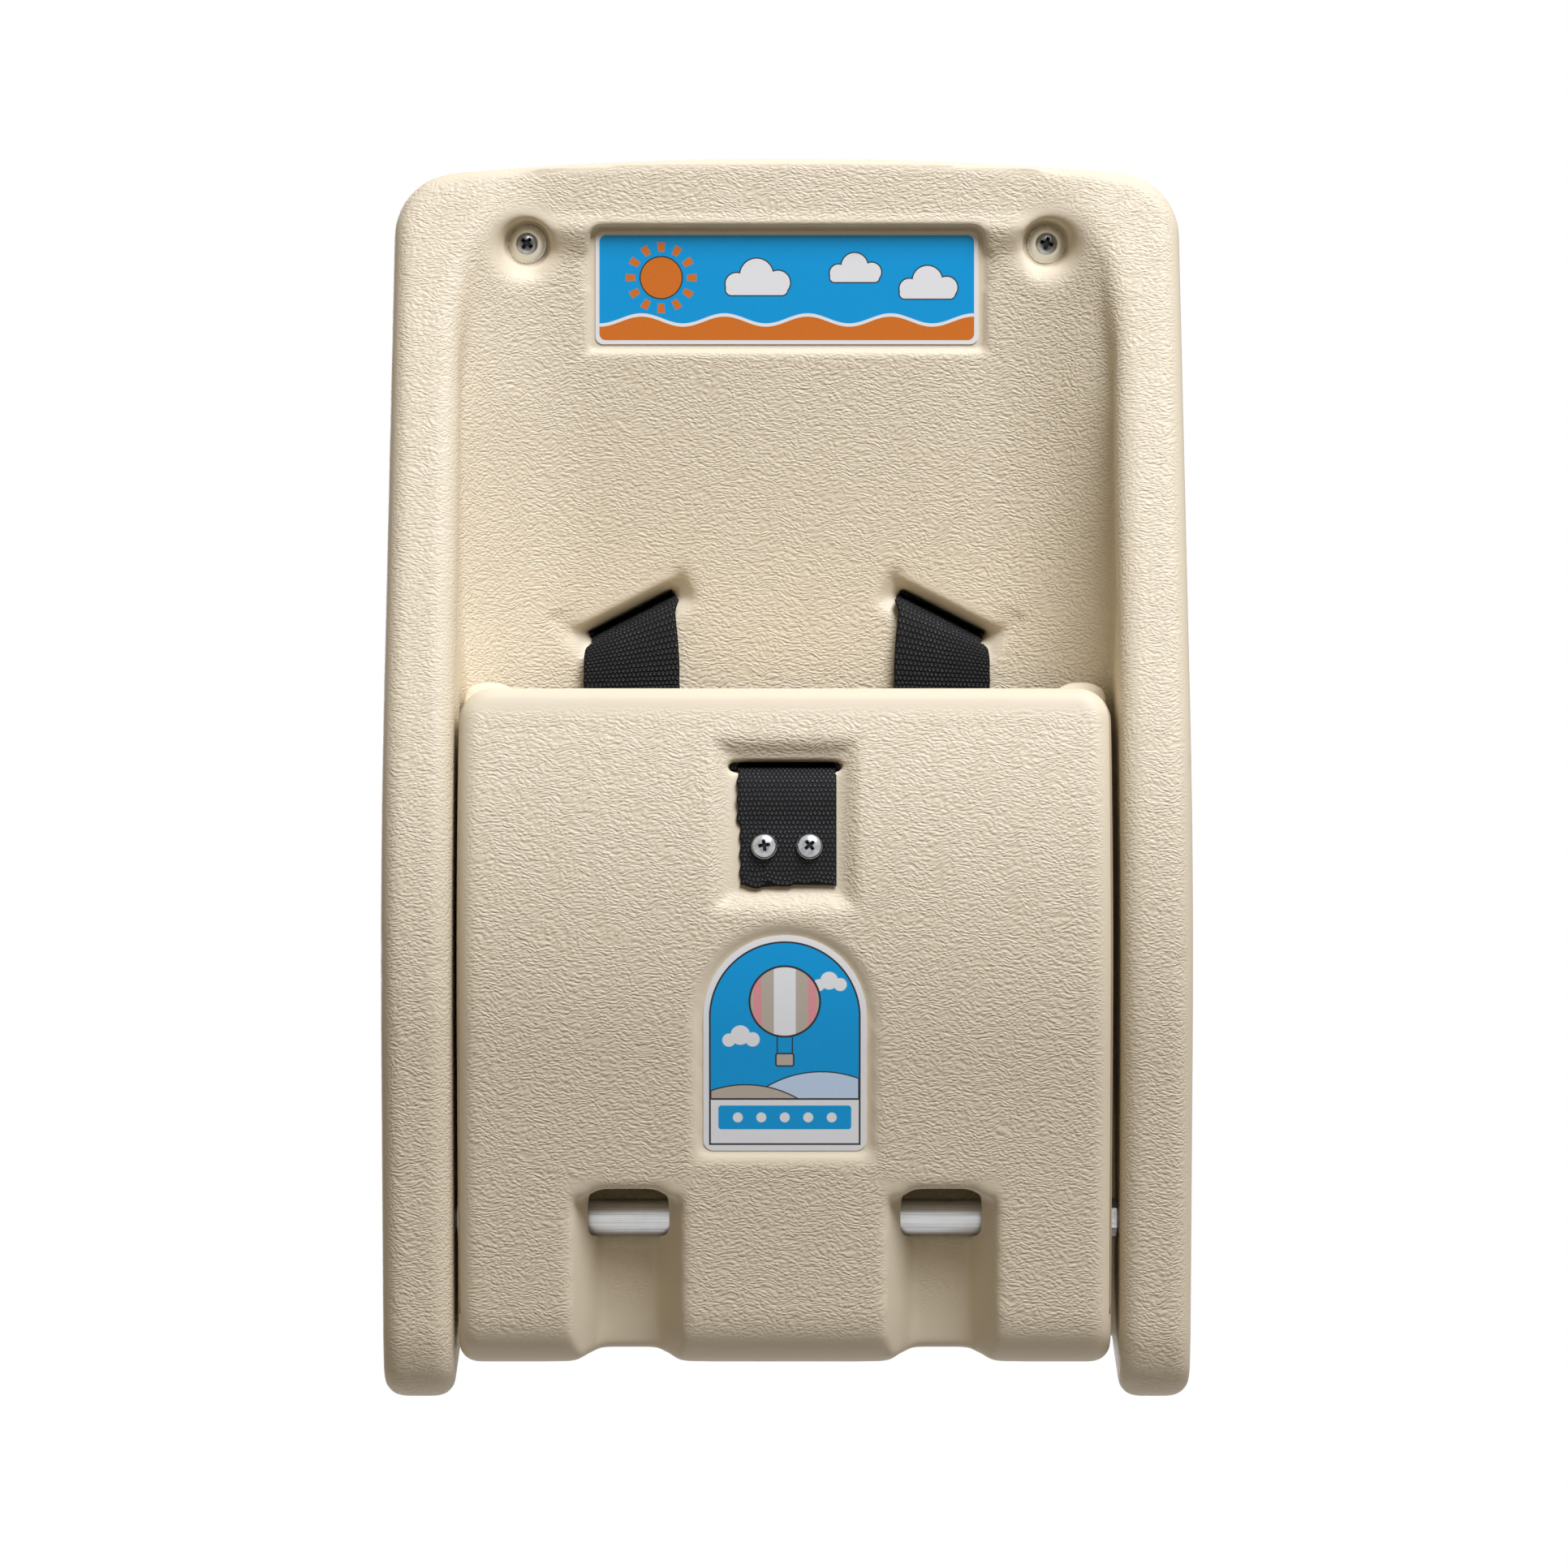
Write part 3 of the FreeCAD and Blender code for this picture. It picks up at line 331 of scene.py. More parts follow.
def rolledGrid(name, around, along, place):  # a grid rolled up into the shape that place(u, v) gives
    bpy.ops.object.select_all(action="DESELECT")
    bpy.ops.mesh.primitive_grid_add(x_subdivisions=around, y_subdivisions=along, size=1)
    obj = bpy.context.object
    obj.name = obj.data.name = name
    for point in obj.data.vertices:
        point.co = place(point.co.x + 0.5, point.co.y + 0.5)
    closeUp(obj)
    return obj


def dress(obj, material, body, slot, *replaced, angle=None):
    only(obj)
    if angle is None:
        bpy.ops.object.shade_smooth()
    else:
        bpy.ops.object.shade_smooth_by_angle(angle=math.radians(angle))
    obj.data.materials.clear()
    obj.data.materials.append(material)
    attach(obj, body)
    if replaced:
        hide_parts(*replaced)
    return obj


def paintNode(node, material, edge=None):  # a CAD node that stays, with its edges broken
    obj = nodes[node]
    obj.data.materials.clear()
    obj.data.materials.append(material)
    if edge:
        weld = obj.modifiers.new("Weld", "WELD")
        weld.merge_threshold = weldReach
        bevel = obj.modifiers.new("Bevel", "BEVEL")
        bevel.width = edge * mm
        bevel.segments = 2
        bevel.limit_method = "ANGLE"


# The two mouldings: the CAD form without its sealed inner wall, softened as blow moulding leaves it
def softCopy(node, name, voxel, rounds, form, softSpots, triangles):
    obj = bpy.data.objects.new(name, nodes[node].data.copy())
    bpy.context.scene.collection.objects.link(obj)
    only(obj)
    bpy.ops.object.mode_set(mode="EDIT")
    bpy.ops.mesh.select_mode(type="VERT")
    bpy.ops.mesh.select_all(action="SELECT")
    bpy.ops.mesh.remove_doubles(threshold=weldReach)
    bpy.ops.mesh.select_all(action="DESELECT")
    bpy.ops.object.mode_set(mode="OBJECT")
    max(obj.data.vertices, key=lambda point: point.co.x).select = True
    bpy.ops.object.mode_set(mode="EDIT")
    bpy.ops.mesh.select_linked()
    bpy.ops.mesh.select_all(action="INVERT")
    bpy.ops.mesh.delete(type="VERT")
    bpy.ops.object.mode_set(mode="OBJECT")
    modify(obj, "REMESH", mode="VOXEL", voxel_size=voxel * mm)
    modify(obj, "SMOOTH", factor=0.5, iterations=rounds)
    for point in obj.data.vertices:
        point.co = at(*form(*spotOf(point)))
    for number, (spot, extra) in enumerate(softSpots):
        group = obj.vertex_groups.new(name="soft" + str(number))
        for point in obj.data.vertices:
            weight = spot(*spotOf(point))
            if weight > 0.01:
                group.add([point.index], weight, "REPLACE")
        modify(obj, "SMOOTH", factor=0.5, iterations=extra, vertex_group=group.name)
    obj.vertex_groups.clear()
    faces = sum(len(face.vertices) - 2 for face in obj.data.polygons)
    if faces > triangles:
        modify(obj, "DECIMATE", ratio=triangles / faces)
    print(name, "softened,", len(obj.data.polygons), "faces")
    return obj


def addGrain(obj, share):  # how strongly the grain shows at each point
    grain = obj.data.attributes.new("grain", "FLOAT", "POINT")
    for point in obj.data.vertices:
        grain.data[point.index].value = share(*spotOf(point))


back = {"voxel": 1.6, "rounds": 5, "triangles": 180000, "top": 487.5, "arch": 1490.0, "half": 156.0,
        "opening": 128.4, "face": 58.0, "wingFrom": 80.0, "screwX": 103.5, "screwHigh": 453.3, "screwLow": 148.5,
        "labelHeight": 435.6, "labelHalf": (78.3, 24.6), "labelDeep": 1.8, "slotX": 61.6, "slotHeight": 305.4,
        "slotTurn": 27.0, "slotHalf": 18.9}
slotCore = {"rear": 8.0, "front": 53.0, "beside": 5.0, "along": 25.0, "line": 19.0}
slotLip = {"near": 1.5, "far": 14.0, "along": 30.0, "rear": 50.0, "drop": 5.5, "slope": (1.6, 6.4),
           "ends": (18, 28)}
labelEdge = {"reach": 5.0, "below": 3.5, "above": 0.6, "inner": -0.6, "upperSlope": 3.6, "lowerSlope": 1.8}


def inSlotFrame(x, height):  # along and beside the nearer strap slot's line
    turn = math.radians(back["slotTurn"])
    x, height = back["slotX"] - abs(x), height - back["slotHeight"]
    return x * math.cos(turn) + height * math.sin(turn), height * math.cos(turn) - x * math.sin(turn)


def slotAway(x, height):  # distance from the nearer strap slot's line
    along, beside = inSlotFrame(x, height)
    return math.hypot(max(abs(along) - slotCore["line"], 0), beside)


def closeSlotEnds(x, depth, height):  # the ends of the slot lie close to the strap's edges
    along, beside = inSlotFrame(x, height)
    turn = math.radians(back["slotTurn"])
    along = math.copysign(min(abs(along), back["slotHalf"]), along)
    side = back["slotX"] - along * math.cos(turn) + beside * math.sin(turn)
    return math.copysign(side, x), depth, back["slotHeight"] + along * math.sin(turn) + beside * math.cos(turn)


def screwAway(x, height):
    levels = (back["screwHigh"], back["screwLow"])
    return min(math.hypot(abs(x) - back["screwX"], height - level) for level in levels)


def labelAway(x, height):
    half = back["labelHalf"]
    return max(abs(x) - half[0], abs(height - back["labelHeight"]) - half[1])


toe = {"wing": 30.0, "seat": 36.0, "ease": 0.0085}  # below these heights the front eases back towards the foot
hollow = {"start": 78.5, "radius": 83.0, "upper": 17.0, "wider": (380, 440), "low": 98.0, "full": 180.0,
          "screws": (9.5, 16), "rim": (452, 466), "rimSide": (94, 126), "rimFlat": 0.72}
wingRoot = {"under": 2.0, "inner": (112, 128), "outer": (131, 149), "low": (278, 312), "shallow": (16, 34),
            "rear": (62, 70), "front": 76, "end": 82, "lip": 10}


def hollowRise(wide, height):  # how far the recess has come forwards at its sides
    radius = hollow["radius"] + hollow["upper"] * fade(height, *hollow["wider"])
    return radius - math.sqrt(radius ** 2 - max(wide - hollow["start"], 0) ** 2)


def backForm(x, depth, height):  # the recess hollows broadly into the wings, and its upper rim is nearly flush
    face, wide = back["face"], abs(x)
    if wide > back["opening"] - 2 and depth > back["wingFrom"] and height < toe["wing"]:
        return x, depth - toe["ease"] * (toe["wing"] - height) ** 2, height
    along, beside = inSlotFrame(x, height)
    inCore = slotCore["rear"] < depth < slotCore["front"]
    if inCore and abs(beside) < slotCore["beside"] and abs(along) < slotCore["along"]:
        return closeSlotEnds(x, depth, height)
    atLip = slotLip["near"] < beside < slotLip["far"] and abs(along) < slotLip["along"]
    if atLip and slotLip["rear"] < depth < face + 1:
        lip = face - slotLip["drop"] * (1 - fade(beside, *slotLip["slope"]))
        return x, depth + max(lip - depth, 0) * (1 - fade(abs(along), *slotLip["ends"])), height
    away = labelAway(x, height)
    if away < labelEdge["reach"] and face - labelEdge["below"] < depth < face + labelEdge["above"]:
        slope = labelEdge["upperSlope"] if height > back["labelHeight"] else labelEdge["lowerSlope"]
        return x, face - back["labelDeep"] * (1 - fade(away, labelEdge["inner"], slope)), height
    if depth < face - 0.8 or height < hollow["low"]:
        return x, depth, height
    front = frontDepth(height)
    if wide < back["opening"] + 2:
        floor = min(face + hollowRise(min(wide, back["opening"]), height), front - 0.4)
        share = fade(height, hollow["low"], hollow["full"]) * fade(screwAway(x, height), *hollow["screws"])
        depth += max(floor - depth, 0) * share
    out = fade(wide, *wingRoot["inner"]) * (1 - fade(wide, *wingRoot["outer"])) * fade(height, *wingRoot["low"])
    out *= fade(front - face, *wingRoot["shallow"])
    end = max(front - wingRoot["lip"], wingRoot["end"])
    out *= fade(depth, *wingRoot["rear"]) * (1 - fade(depth, wingRoot["front"], end))
    x += math.copysign(out * wingRoot["under"], x)
    rim = fade(height, *hollow["rim"]) * (1 - fade(wide, *hollow["rimSide"])) * hollow["rimFlat"]
    return x, depth - max(depth - face, 0) * rim, height


def backGrain(x, depth, height):
    share = 1.0
    if depth > 30:
        if frontDepth(height) - depth < 12:
            top = back["top"] - x * x / (2 * back["arch"])
            edge = fade(abs(abs(x) - back["opening"] - 3), 2, 7)
            share *= edge + (1 - edge) * (0.7 + 0.3 * fade(height, 360, 430))
            share *= fade(min(back["half"] - abs(x), top - height), 1, 6)
        if abs(x) < back["opening"]:
            share *= fade(screwAway(x, height), 11, 20) * fade(slotAway(x, height), 4, 13)
            share *= 0.08 + 0.92 * fade(labelAway(x, height), 0, 4)
    return share


# Where the back is smoothed further: the weight falls to nought over each pair of distances
softBack = {"screw": (18, 27), "slot": (12, 22), "label": (1.5, 5), "cornerX": 122, "corner": (14, 24),
            "rootX": 126, "root": (7, 13), "rootLow": (286, 300), "rootHigh": (420, 450)}


def screwDish(x, depth, height):
    return (1 - fade(screwAway(x, height), *softBack["screw"])) * fade(depth, 54, 56.5)


def slotLips(x, depth, height):
    upper = 0.7 * fade(inSlotFrame(x, height)[1], 1, 4)
    near = 1 - fade(slotAway(x, height), *softBack["slot"])
    return near * fade(depth, 46, 52) * (1 - fade(depth, 62, 66)) * (1 - upper)


def upperCorners(x, depth, height):
    near = 1 - fade(abs(abs(x) - softBack["cornerX"]), *softBack["corner"])
    return near * fade(height, *hollow["wider"]) * fade(depth, 50, 56)


def labelRim(x, depth, height):
    return (1 - fade(abs(labelAway(x, height)), *softBack["label"])) * fade(depth, 50, 54)


def wingRoots(x, depth, height):
    near = 1 - fade(abs(abs(x) - softBack["rootX"]), *softBack["root"])
    level = fade(height, *softBack["rootLow"])
    return near * level * (1 - fade(height, *softBack["rootHigh"])) * fade(depth, 56, 60)


backMoulding = softCopy("back_frame", "back_moulding", back["voxel"], back["rounds"], backForm,
                        ((upperCorners, 24), (wingRoots, 18), (screwDish, 16), (slotLips, 16), (labelRim, 1)),
                        back["triangles"])
addGrain(backMoulding, backGrain)
dress(backMoulding, beigePlastic, "back", "beige_moulding", "back_frame")

seat = {"voxel": 1.4, "rounds": 5, "triangles": 170000, "half": 126.0, "low": 14.0, "top": 275.0,
        "pocketHalf": 20.0, "pocketLow": 197.5, "pocketHigh": 247.0, "pocketDeep": 4.0, "pocketSlope": 9.5,
        "archHalf": 34.25, "archLow": 94.3, "archSpring": 148.75, "channelX": 60.5, "channelTop": 82.0,
        "edge": 7.5, "corner": 13.0}
bolster = {"from": 36.0, "ease": 2.3, "lower": 0.35, "rise": (236, 260), "beside": (98, 108), "inset": (36, 54)}


def pocketAway(x, height):
    middle = (seat["pocketLow"] + seat["pocketHigh"]) / 2
    return max(abs(x) - seat["pocketHalf"], abs(height - middle) - (seat["pocketHigh"] - middle))


def archAway(x, height):
    return max(math.hypot(x, max(height - seat["archSpring"], 0)) - seat["archHalf"], seat["archLow"] - height)


def seatForm(x, depth, height):  # the toe and the bolsters ease in, and the strap's pocket slopes softly
    inset = frontDepth(height) - depth
    away = pocketAway(x - seatShift, height)
    if height < toe["seat"] and inset < 20:
        return x, depth - toe["ease"] * (toe["seat"] - max(height, seat["low"])) ** 2, height
    if inset > bolster["from"]:
        beside = fade(abs(x - seatShift), *bolster["beside"])
        ease = fade(height, *bolster["rise"]) * beside * fade(inset, *bolster["inset"])
        height -= bolster["lower"] * max(height - seat["top"], 0)
        return x, depth + bolster["ease"] * ease, height
    if inset > 6 or away > 14:
        return x, depth, height
    return x, frontDepth(height) - seat["pocketDeep"] * (1 - fade(away, 0, seat["pocketSlope"])), height


def seatGrain(x, depth, height):
    x -= seatShift
    share = fade(seat["top"] - height, 6, 13) * fade(height - seat["low"], 7, 18)
    share *= fade(seat["half"] - abs(x), 2, 8)
    if frontDepth(height) - depth < 27:
        share *= fade(pocketAway(x, height), -2, 8) * (0.06 + 0.94 * fade(archAway(x, height), 0, 4))
        away = abs(abs(x) - seat["channelX"])
        floor = (1 - fade(away, 7, 11)) * fade(height, 30, 48) * 0.8
        share *= max(fade(away, 19, 27), floor, fade(height, seat["channelTop"] + 1, seat["channelTop"] + 8))
    return share


def pocketSlopes(x, depth, height):
    inset = frontDepth(height) - depth
    return (1 - fade(pocketAway(x - seatShift, height), 12, 18)) * (1 - fade(inset, 6, 9))


def channelSides(x, depth, height):
    away = abs(abs(x - seatShift) - seat["channelX"])
    deep = 16 + 14 * (1 - fade(height, 36, 46))
    inset = frontDepth(height) - depth
    return (1 - fade(away, 26, 34)) * (1 - fade(height, 92, 100)) * (1 - fade(inset, deep, deep + 5))


def archRim(x, depth, height):
    inset = frontDepth(height) - depth
    return (1 - fade(abs(archAway(x - seatShift, height)), 1.5, 5)) * (1 - fade(inset, 5, 8))


seatMoulding = softCopy("seat_shell", "seat_moulding", seat["voxel"], seat["rounds"], seatForm,
                        ((pocketSlopes, 8), (channelSides, 16), (archRim, 4)), seat["triangles"])
addGrain(seatMoulding, seatGrain)
dress(seatMoulding, beigePlastic, "seat", "beige_moulding", "seat_shell")


# The mould's parting line, a fine raised seam round the seat's front edge
seam = {"inset": 0.8, "forward": 3.4, "radius": 0.36, "sides": 8, "step": 3.0, "steps": 75, "foot": 34.0}


def seamLine():
    reach, bend = seat["half"] - seam["inset"], seat["corner"] - seam["inset"]
    centre = (seat["half"] - seat["corner"], seat["top"] - seat["corner"])
    line = [(reach, seam["foot"] + step * seam["step"]) for step in range(seam["steps"])]
    line = [spot for spot in line if spot[1] < centre[1]]
    for step in range(13):
        turn = math.radians(90 * step / 12)
        line.append((centre[0] + bend * math.cos(turn), centre[1] + bend * math.sin(turn)))
    line += [(x, seat["top"] - seam["inset"]) for x in range(int(centre[0]) - 3, 0, -4)]
    line += [(-x, height) for x, height in reversed(line)]
    return [at(x + seatShift, frontDepth(height, seat["edge"]) + seam["forward"], height)
            for x, height in line]


def tubeAlong(name, points, radius, sides):
    rows = len(points) - 1

    def place(u, v):
        row = round(v * rows)
        way = (points[min(row + 1, rows)] - points[max(row - 1, 0)]).normalized()
        side = way.cross(Vector((0, 1, 0))).normalized()
        other = way.cross(side)
        turn = 2 * math.pi * round(u * sides) / sides
        return points[row] + (side * math.cos(turn) + other * math.sin(turn)) * radius

    return rolledGrid(name, sides, rows, place)


dress(tubeAlong("seat_seam", seamLine(), seam["radius"] * mm, seam["sides"]), seamPlastic, "seat",
      "beige_moulding")
print("mouldings made")


# Webbing: a woven strap along stations of (middle, direction across)
# paintedGlint is the colour of the painted highlight on each bead
web = {"width": 38.1, "body": 1.0, "bead": 0.36, "lowBead": 0.3, "across": 1.63, "along": 1.8, "mostRows": 200.0,
       "slant": 35.0, "black": rgb(0.0035, 0.0035, 0.0037), "paintedGlint": rgb(0.15, 0.153, 0.156), "frayed": 0.008}
beads = round(web["width"] / web["across"])
runSteps = 12  # between two stations of a strap


def wovenBlack():  # every bead of the weave gets a short slanting glint painted into its colour, a painted highlight
    made = Finish("wovenBlack", Specular_IOR_Level=0.2)
    u, v = made.split(made.node("ShaderNodeUVMap", {}, {}))[:2]
    sway = made.noise(made.place(), 420.0, 2.0) - 0.5
    along = v * web["mostRows"] + sway * 0.5
    row = made.maths("FLOOR", along)
    aside = made.maths("FRACT", u * (2 * beads) + made.maths("MODULO", row, 2.0) * 0.5 + sway * 0.35) - 0.5
    up = made.maths("FRACT", along) - 0.5
    turn = math.radians(web["slant"])
    long = aside * math.cos(turn) + up * math.sin(turn)
    thin = up * math.cos(turn) - aside * math.sin(turn)
    # painted highlight: a slanting glint on each bead, mixed into the base colour, its strength varied at random
    paintedGlint = made.mask(long * long * 22.0 + thin * thin * 75.0, 1.3, 0.25)
    worn = made.mask(made.noise(made.place(), 90.0, 3.0), 0.3, 0.7) * 0.55 + 0.45
    tone = made.mix(paintedGlint * worn, web["black"], web["paintedGlint"])
    dome = 1.0 - made.mask(aside * aside + up * up, 0.0, 0.28)
    return made.feed(Base_Color=tone, Roughness=0.62 - paintedGlint * worn * 0.2, Normal=made.bump(dome, 0.0003))


webBlack = wovenBlack()


def smoothRun(stations):  # (distance, middle, direction across) along a smooth line through the stations
    ends = [stations[0], *stations, stations[-1]]
    close = []
    for before, start, end, after in zip(ends, ends[1:], ends[2:], ends[3:]):
        for step in range(runSteps):
            t = step / runSteps
            shares = (-t + 2 * t * t - t ** 3, 2 - 5 * t * t + 3 * t ** 3, t + 4 * t * t - 3 * t ** 3,
                      t ** 3 - t * t)
            pairs = list(zip((before, start, end, after), shares))
            close.append([sum((spot[part] * share / 2 for spot, share in pairs), Vector((0, 0, 0)))
                          for part in (0, 1)])
    close.append(list(stations[-1]))
    run = [(0.0, close[0][0], close[0][1].normalized())]
    for centre, across in close[1:]:
        run.append((run[-1][0] + (centre - run[-1][1]).length, centre, across.normalized()))
    return run


def strap(name, stations, slant=0.0, ragged=0.0, sideStep=None):
    run = smoothRun(stations)
    marks = [mark[0] for mark in run]
    length, half = marks[-1], web["width"] / 2 * mm
    columns, rows = 2 * beads, 2 * round(length / web["along"] / mm)

    def place(u, v):
        step, line = round(u * 2 * columns), round(v * rows)
        face = 1 if step <= columns else -1
        column = step if step <= columns else 2 * columns - step
        side = 2 * column / columns - 1
        along = v * length + slant * side * half * fade(v, 0.5, 1)
        if ragged:
            fray = 1 - fade(v * length, 0, web["frayed"])
            along += ragged * noise.noise(Vector((side * 4, 3.1, 0.7))) * fray
        number = min(max(bisect.bisect(marks, along), 1), len(run) - 1)
        (begin, first, firstAcross), (stop, last, lastAcross) = run[number - 1], run[number]
        share = (along - begin) / (stop - begin)
        way = (last - first).normalized()
        across = firstAcross.lerp(lastAcross, min(max(share, 0), 1)).normalized()
        out = way.cross(across).normalized()
        body = web["body"] / 2 * (1 - abs(side) ** 10) ** 0.1
        bead = 0.0
        if line % 2 and abs(side) < 0.99:
            bead = web["bead"] * (1.0 if (column + line // 2) % 2 else web["lowBead"])
        reach = side * half
        if sideStep and side < -0.5:
            reach += sideStep(along) * mm
        return first.lerp(last, share) + across * reach + out * (face * (body + bead) * mm)

    obj = rolledGrid(name, 2 * columns, rows, place)
    for corner in obj.data.uv_layers[0].data:
        corner.uv.y *= rows / 2 / web["mostRows"]
    return obj, length


shoulder = {"tailDepth": 5.4, "tail": (46.0, 36, 24, 12, 5), "hang": 62.4, "bend": 263.1,
            "lower": (-38.0, -26.0, -13.0, -0.3)}
slotRun = ((1.2, 6.4), (0.2, 9.5), (0, 18), (0, 26), (0, 34), (-0.9, 44), (-1.5, 51), (-2.3, 55.5), (-3.6, 59.2))
frontRun = ((-61.9, 61.2, 299.4, 22), (-62.0, 62.3, 295.0, 16), (-61.8, 62.8, 289.5, 9), (-61.6, 62.8, 283.5, 4),
            (-61.6, 62.6, 277.0, 0), (-60.6, shoulder["hang"], 269.0, 12), (-56.2, shoulder["hang"], 259.0, 30),
            (-48.5, shoulder["hang"], 250.3, 42))


def shoulderStations(side):
    turn = math.radians(back["slotTurn"])
    slope = (math.cos(turn), math.sin(turn))

    def station(x, depth, height, lean):
        lean = math.radians(lean)
        across = Vector((math.cos(lean) * -side, 0, math.sin(lean)))
        return at(x * -side, depth, height), across

    def inSlot(rise, depth):
        x, height = -back["slotX"] - rise * slope[1], back["slotHeight"] + rise * slope[0]
        return station(x, depth, height, back["slotTurn"])

    line = [inSlot(rise, shoulder["tailDepth"]) for rise in shoulder["tail"]]
    line += [inSlot(*spot) for spot in slotRun] + [station(*spot) for spot in frontRun]
    for x in shoulder["lower"]:
        line.append(station(x, shoulder["hang"], shoulder["bend"] - (x + back["slotX"]), 45))
    return line


def layStrap(obj, length, body, node):
    dress(obj, webBlack, body, "black_webbing", node)
    print(obj.name, "is", round(length / mm), "mm long")


for side, node in ((-1, "left_shoulder_strap"), (1, "right_shoulder_strap")):
    obj, length = strap(node.replace("strap", "web"), shoulderStations(side), slant=-1.0)
    layStrap(obj, length, "back", node)

stub = {"depth": 64.3, "top": 222.4, "low": 152.6}
flatAcross = Vector((1, 0, 0))
stubHeights = [stub["top"] + (stub["low"] - stub["top"]) * step / 6 for step in range(7)]
obj, length = strap("stub_web", [(at(0, stub["depth"], height), flatAcross) for height in stubHeights],
                    ragged=0.0006)
layStrap(obj, length, "back", "harness_stub")

crotch = {"x": 0.0, "slot": 244.4, "behind": 51.1, "fold": 239, "end": 152.4}
crotchRise = ((199.0, 3.0), (203.5, 3.1), (208.0, 3.0), (214.0, 2.95), (218.5, 2.9), (222.5, 3.1), (226.5, 2.6),
              (231.5, 2.0), (236.0, 2.1), (239.6, 2.6))  # height and inset from the front
crotchLip = ((4.3, 242.2), (6.6, 243.3))


def crotchStations():
    def spot(height, inset):
        return at(crotch["x"], frontDepth(height, inset), height), flatAcross

    line = [spot(height, inset) for height, inset in crotchRise]
    front, rear = frontDepth(crotch["slot"]), frontDepth(crotch["slot"], crotch["behind"])
    line += [(at(crotch["x"], front - inset, height), flatAcross) for inset, height in crotchLip]
    for step in range(6):
        depth = front - 10 + (rear + 2.5 - front + 10) * step / 5
        line.append((at(crotch["x"], depth, crotch["slot"] - 0.9 + 2.3 * step / 5), flatAcross))
    line.append(spot(242.6, crotch["behind"] - 0.3))
    for step in range(9):
        line.append(spot(crotch["fold"] + (crotch["end"] - crotch["fold"]) * step / 8, crotch["behind"]))
    return line


def tailEdge(along):  # the cut tail is a little narrower below the fold
    return 1.1 * (1 - fade(along, 0.0225, 0.0245)) + 0.3 * math.sin(along * 900)


obj, length = strap("crotch_web", crotchStations(), ragged=0.0022, sideStep=tailEdge)
layStrap(obj, length, "seat", "crotch_strap")


# Screws and washers
def turned(name, profile, around=40):  # turned about Z, from (radius, height) pairs in mm
    def place(u, v):
        radius, height = profile[round(v * (len(profile) - 1))]
        turn = 2 * math.pi * round(u * around) / around
        return Vector((radius * math.cos(turn), radius * math.sin(turn), height)) * mm

    return rolledGrid(name, around, len(profile) - 1, place)


def crossScrew(name, size):  # the seat of the head at the origin, the head above it
    half, dome, tall, rim = size["head"] / 2, size["dome"] / 2, size["tall"], size["rim"]
    neck, thread, reach = size["neck"] / 2, size["thread"] / 2, size["reach"]
    around, perTurn = 28, 5
    rows = round((reach - 0.2) / size["pitch"] * perTurn)

    def place(u, v):
        turn = 2 * math.pi * round(u * around) / around
        row = round(v * rows)
        height = -size["neckLong"] - reach * (1 - row / rows)
        wave = abs((row / perTurn + turn / 2 / math.pi) % 1 - 0.5) * 2
        radius = thread * (0.74 + 0.26 * wave) * fade(row / rows, -0.12, size["tip"] / reach)
        return Vector((radius * math.cos(turn), radius * math.sin(turn), height)) * mm

    shank = rolledGrid(name + "Shank", around, rows, place)
    foot = -size["neckLong"] - 0.3
    profile = [(neck * 0.2, foot), (neck, foot), (neck, -0.05), (half * 0.97, 0), (half, 0.12), (half, rim)]
    if dome < half:
        profile += [(half - 0.3, rim + 0.3), (dome + 0.5, rim + 0.7), (dome, rim + 0.9)]
    base = profile[-1][1]
    for step in range(1, 9):
        turn = math.radians(90 * step / 8)
        profile.append((max(dome * math.cos(turn), 0.0), base + (tall - base) * math.sin(turn)))
    head = turned(name, profile)
    for turn in (0, 90):
        bpy.ops.object.select_all(action="DESELECT")
        bpy.ops.mesh.primitive_cube_add(size=1)
        bar = bpy.context.object
        for point in bar.data.vertices:
            deep = point.co.z < 0
            long = size["drive"] * (0.42 if deep else 1.0)
            wide = size["slot"] * (0.6 if deep else 1.0)
            height = tall - size["deep"] if deep else tall + 0.15
            spot = Vector((point.co.x * long, point.co.y * wide, height)) * mm
            point.co = Matrix.Rotation(math.radians(turn), 3, "Z") @ spot
        modify(head, "BOOLEAN", operation="DIFFERENCE", object=bar, solver="EXACT")
        bpy.data.objects.remove(bar)
    # painted shade fills the cross drive, and a painted dark reflection fades out across the dome
    paintedShadeAndReflection, flange = [], []
    for point in head.data.vertices:
        wide, high = math.hypot(point.co.x, point.co.y) / mm, point.co.z / mm
        skin = base + (tall - base) * math.sqrt(max(1 - (wide / dome) ** 2, 0))
        inDrive = wide < size["drive"] / 2 + 0.2 and 0 < high < skin - 0.25
        darker = size["darker"] * (1 - fade(wide, size["drive"] * 0.3, dome * 1.1))
        paintedShadeAndReflection.append(1.0 if inDrive else darker)
        flange.append(float(wide > dome + 0.3))
    head.data.attributes.new("paintedShadeAndReflection", "FLOAT", "POINT").data.foreach_set("value", paintedShadeAndReflection)
    head.data.attributes.new("flange", "FLOAT", "POINT").data.foreach_set("value", flange)
    only(head)
    shank.select_set(True)
    bpy.ops.object.join()
    return head


def washer(name, size):
    outer, inner, thick, soft = size["outer"] / 2, size["inner"] / 2, size["thick"], size["thick"] * 0.35
    profile = [(inner, soft), (inner + soft, 0), (outer - soft, 0), (outer, soft), (outer, thick - soft),
               (outer - soft, thick), (inner + soft, thick), (inner, thick - soft), (inner, soft)]
    return turned(name, profile, 48)


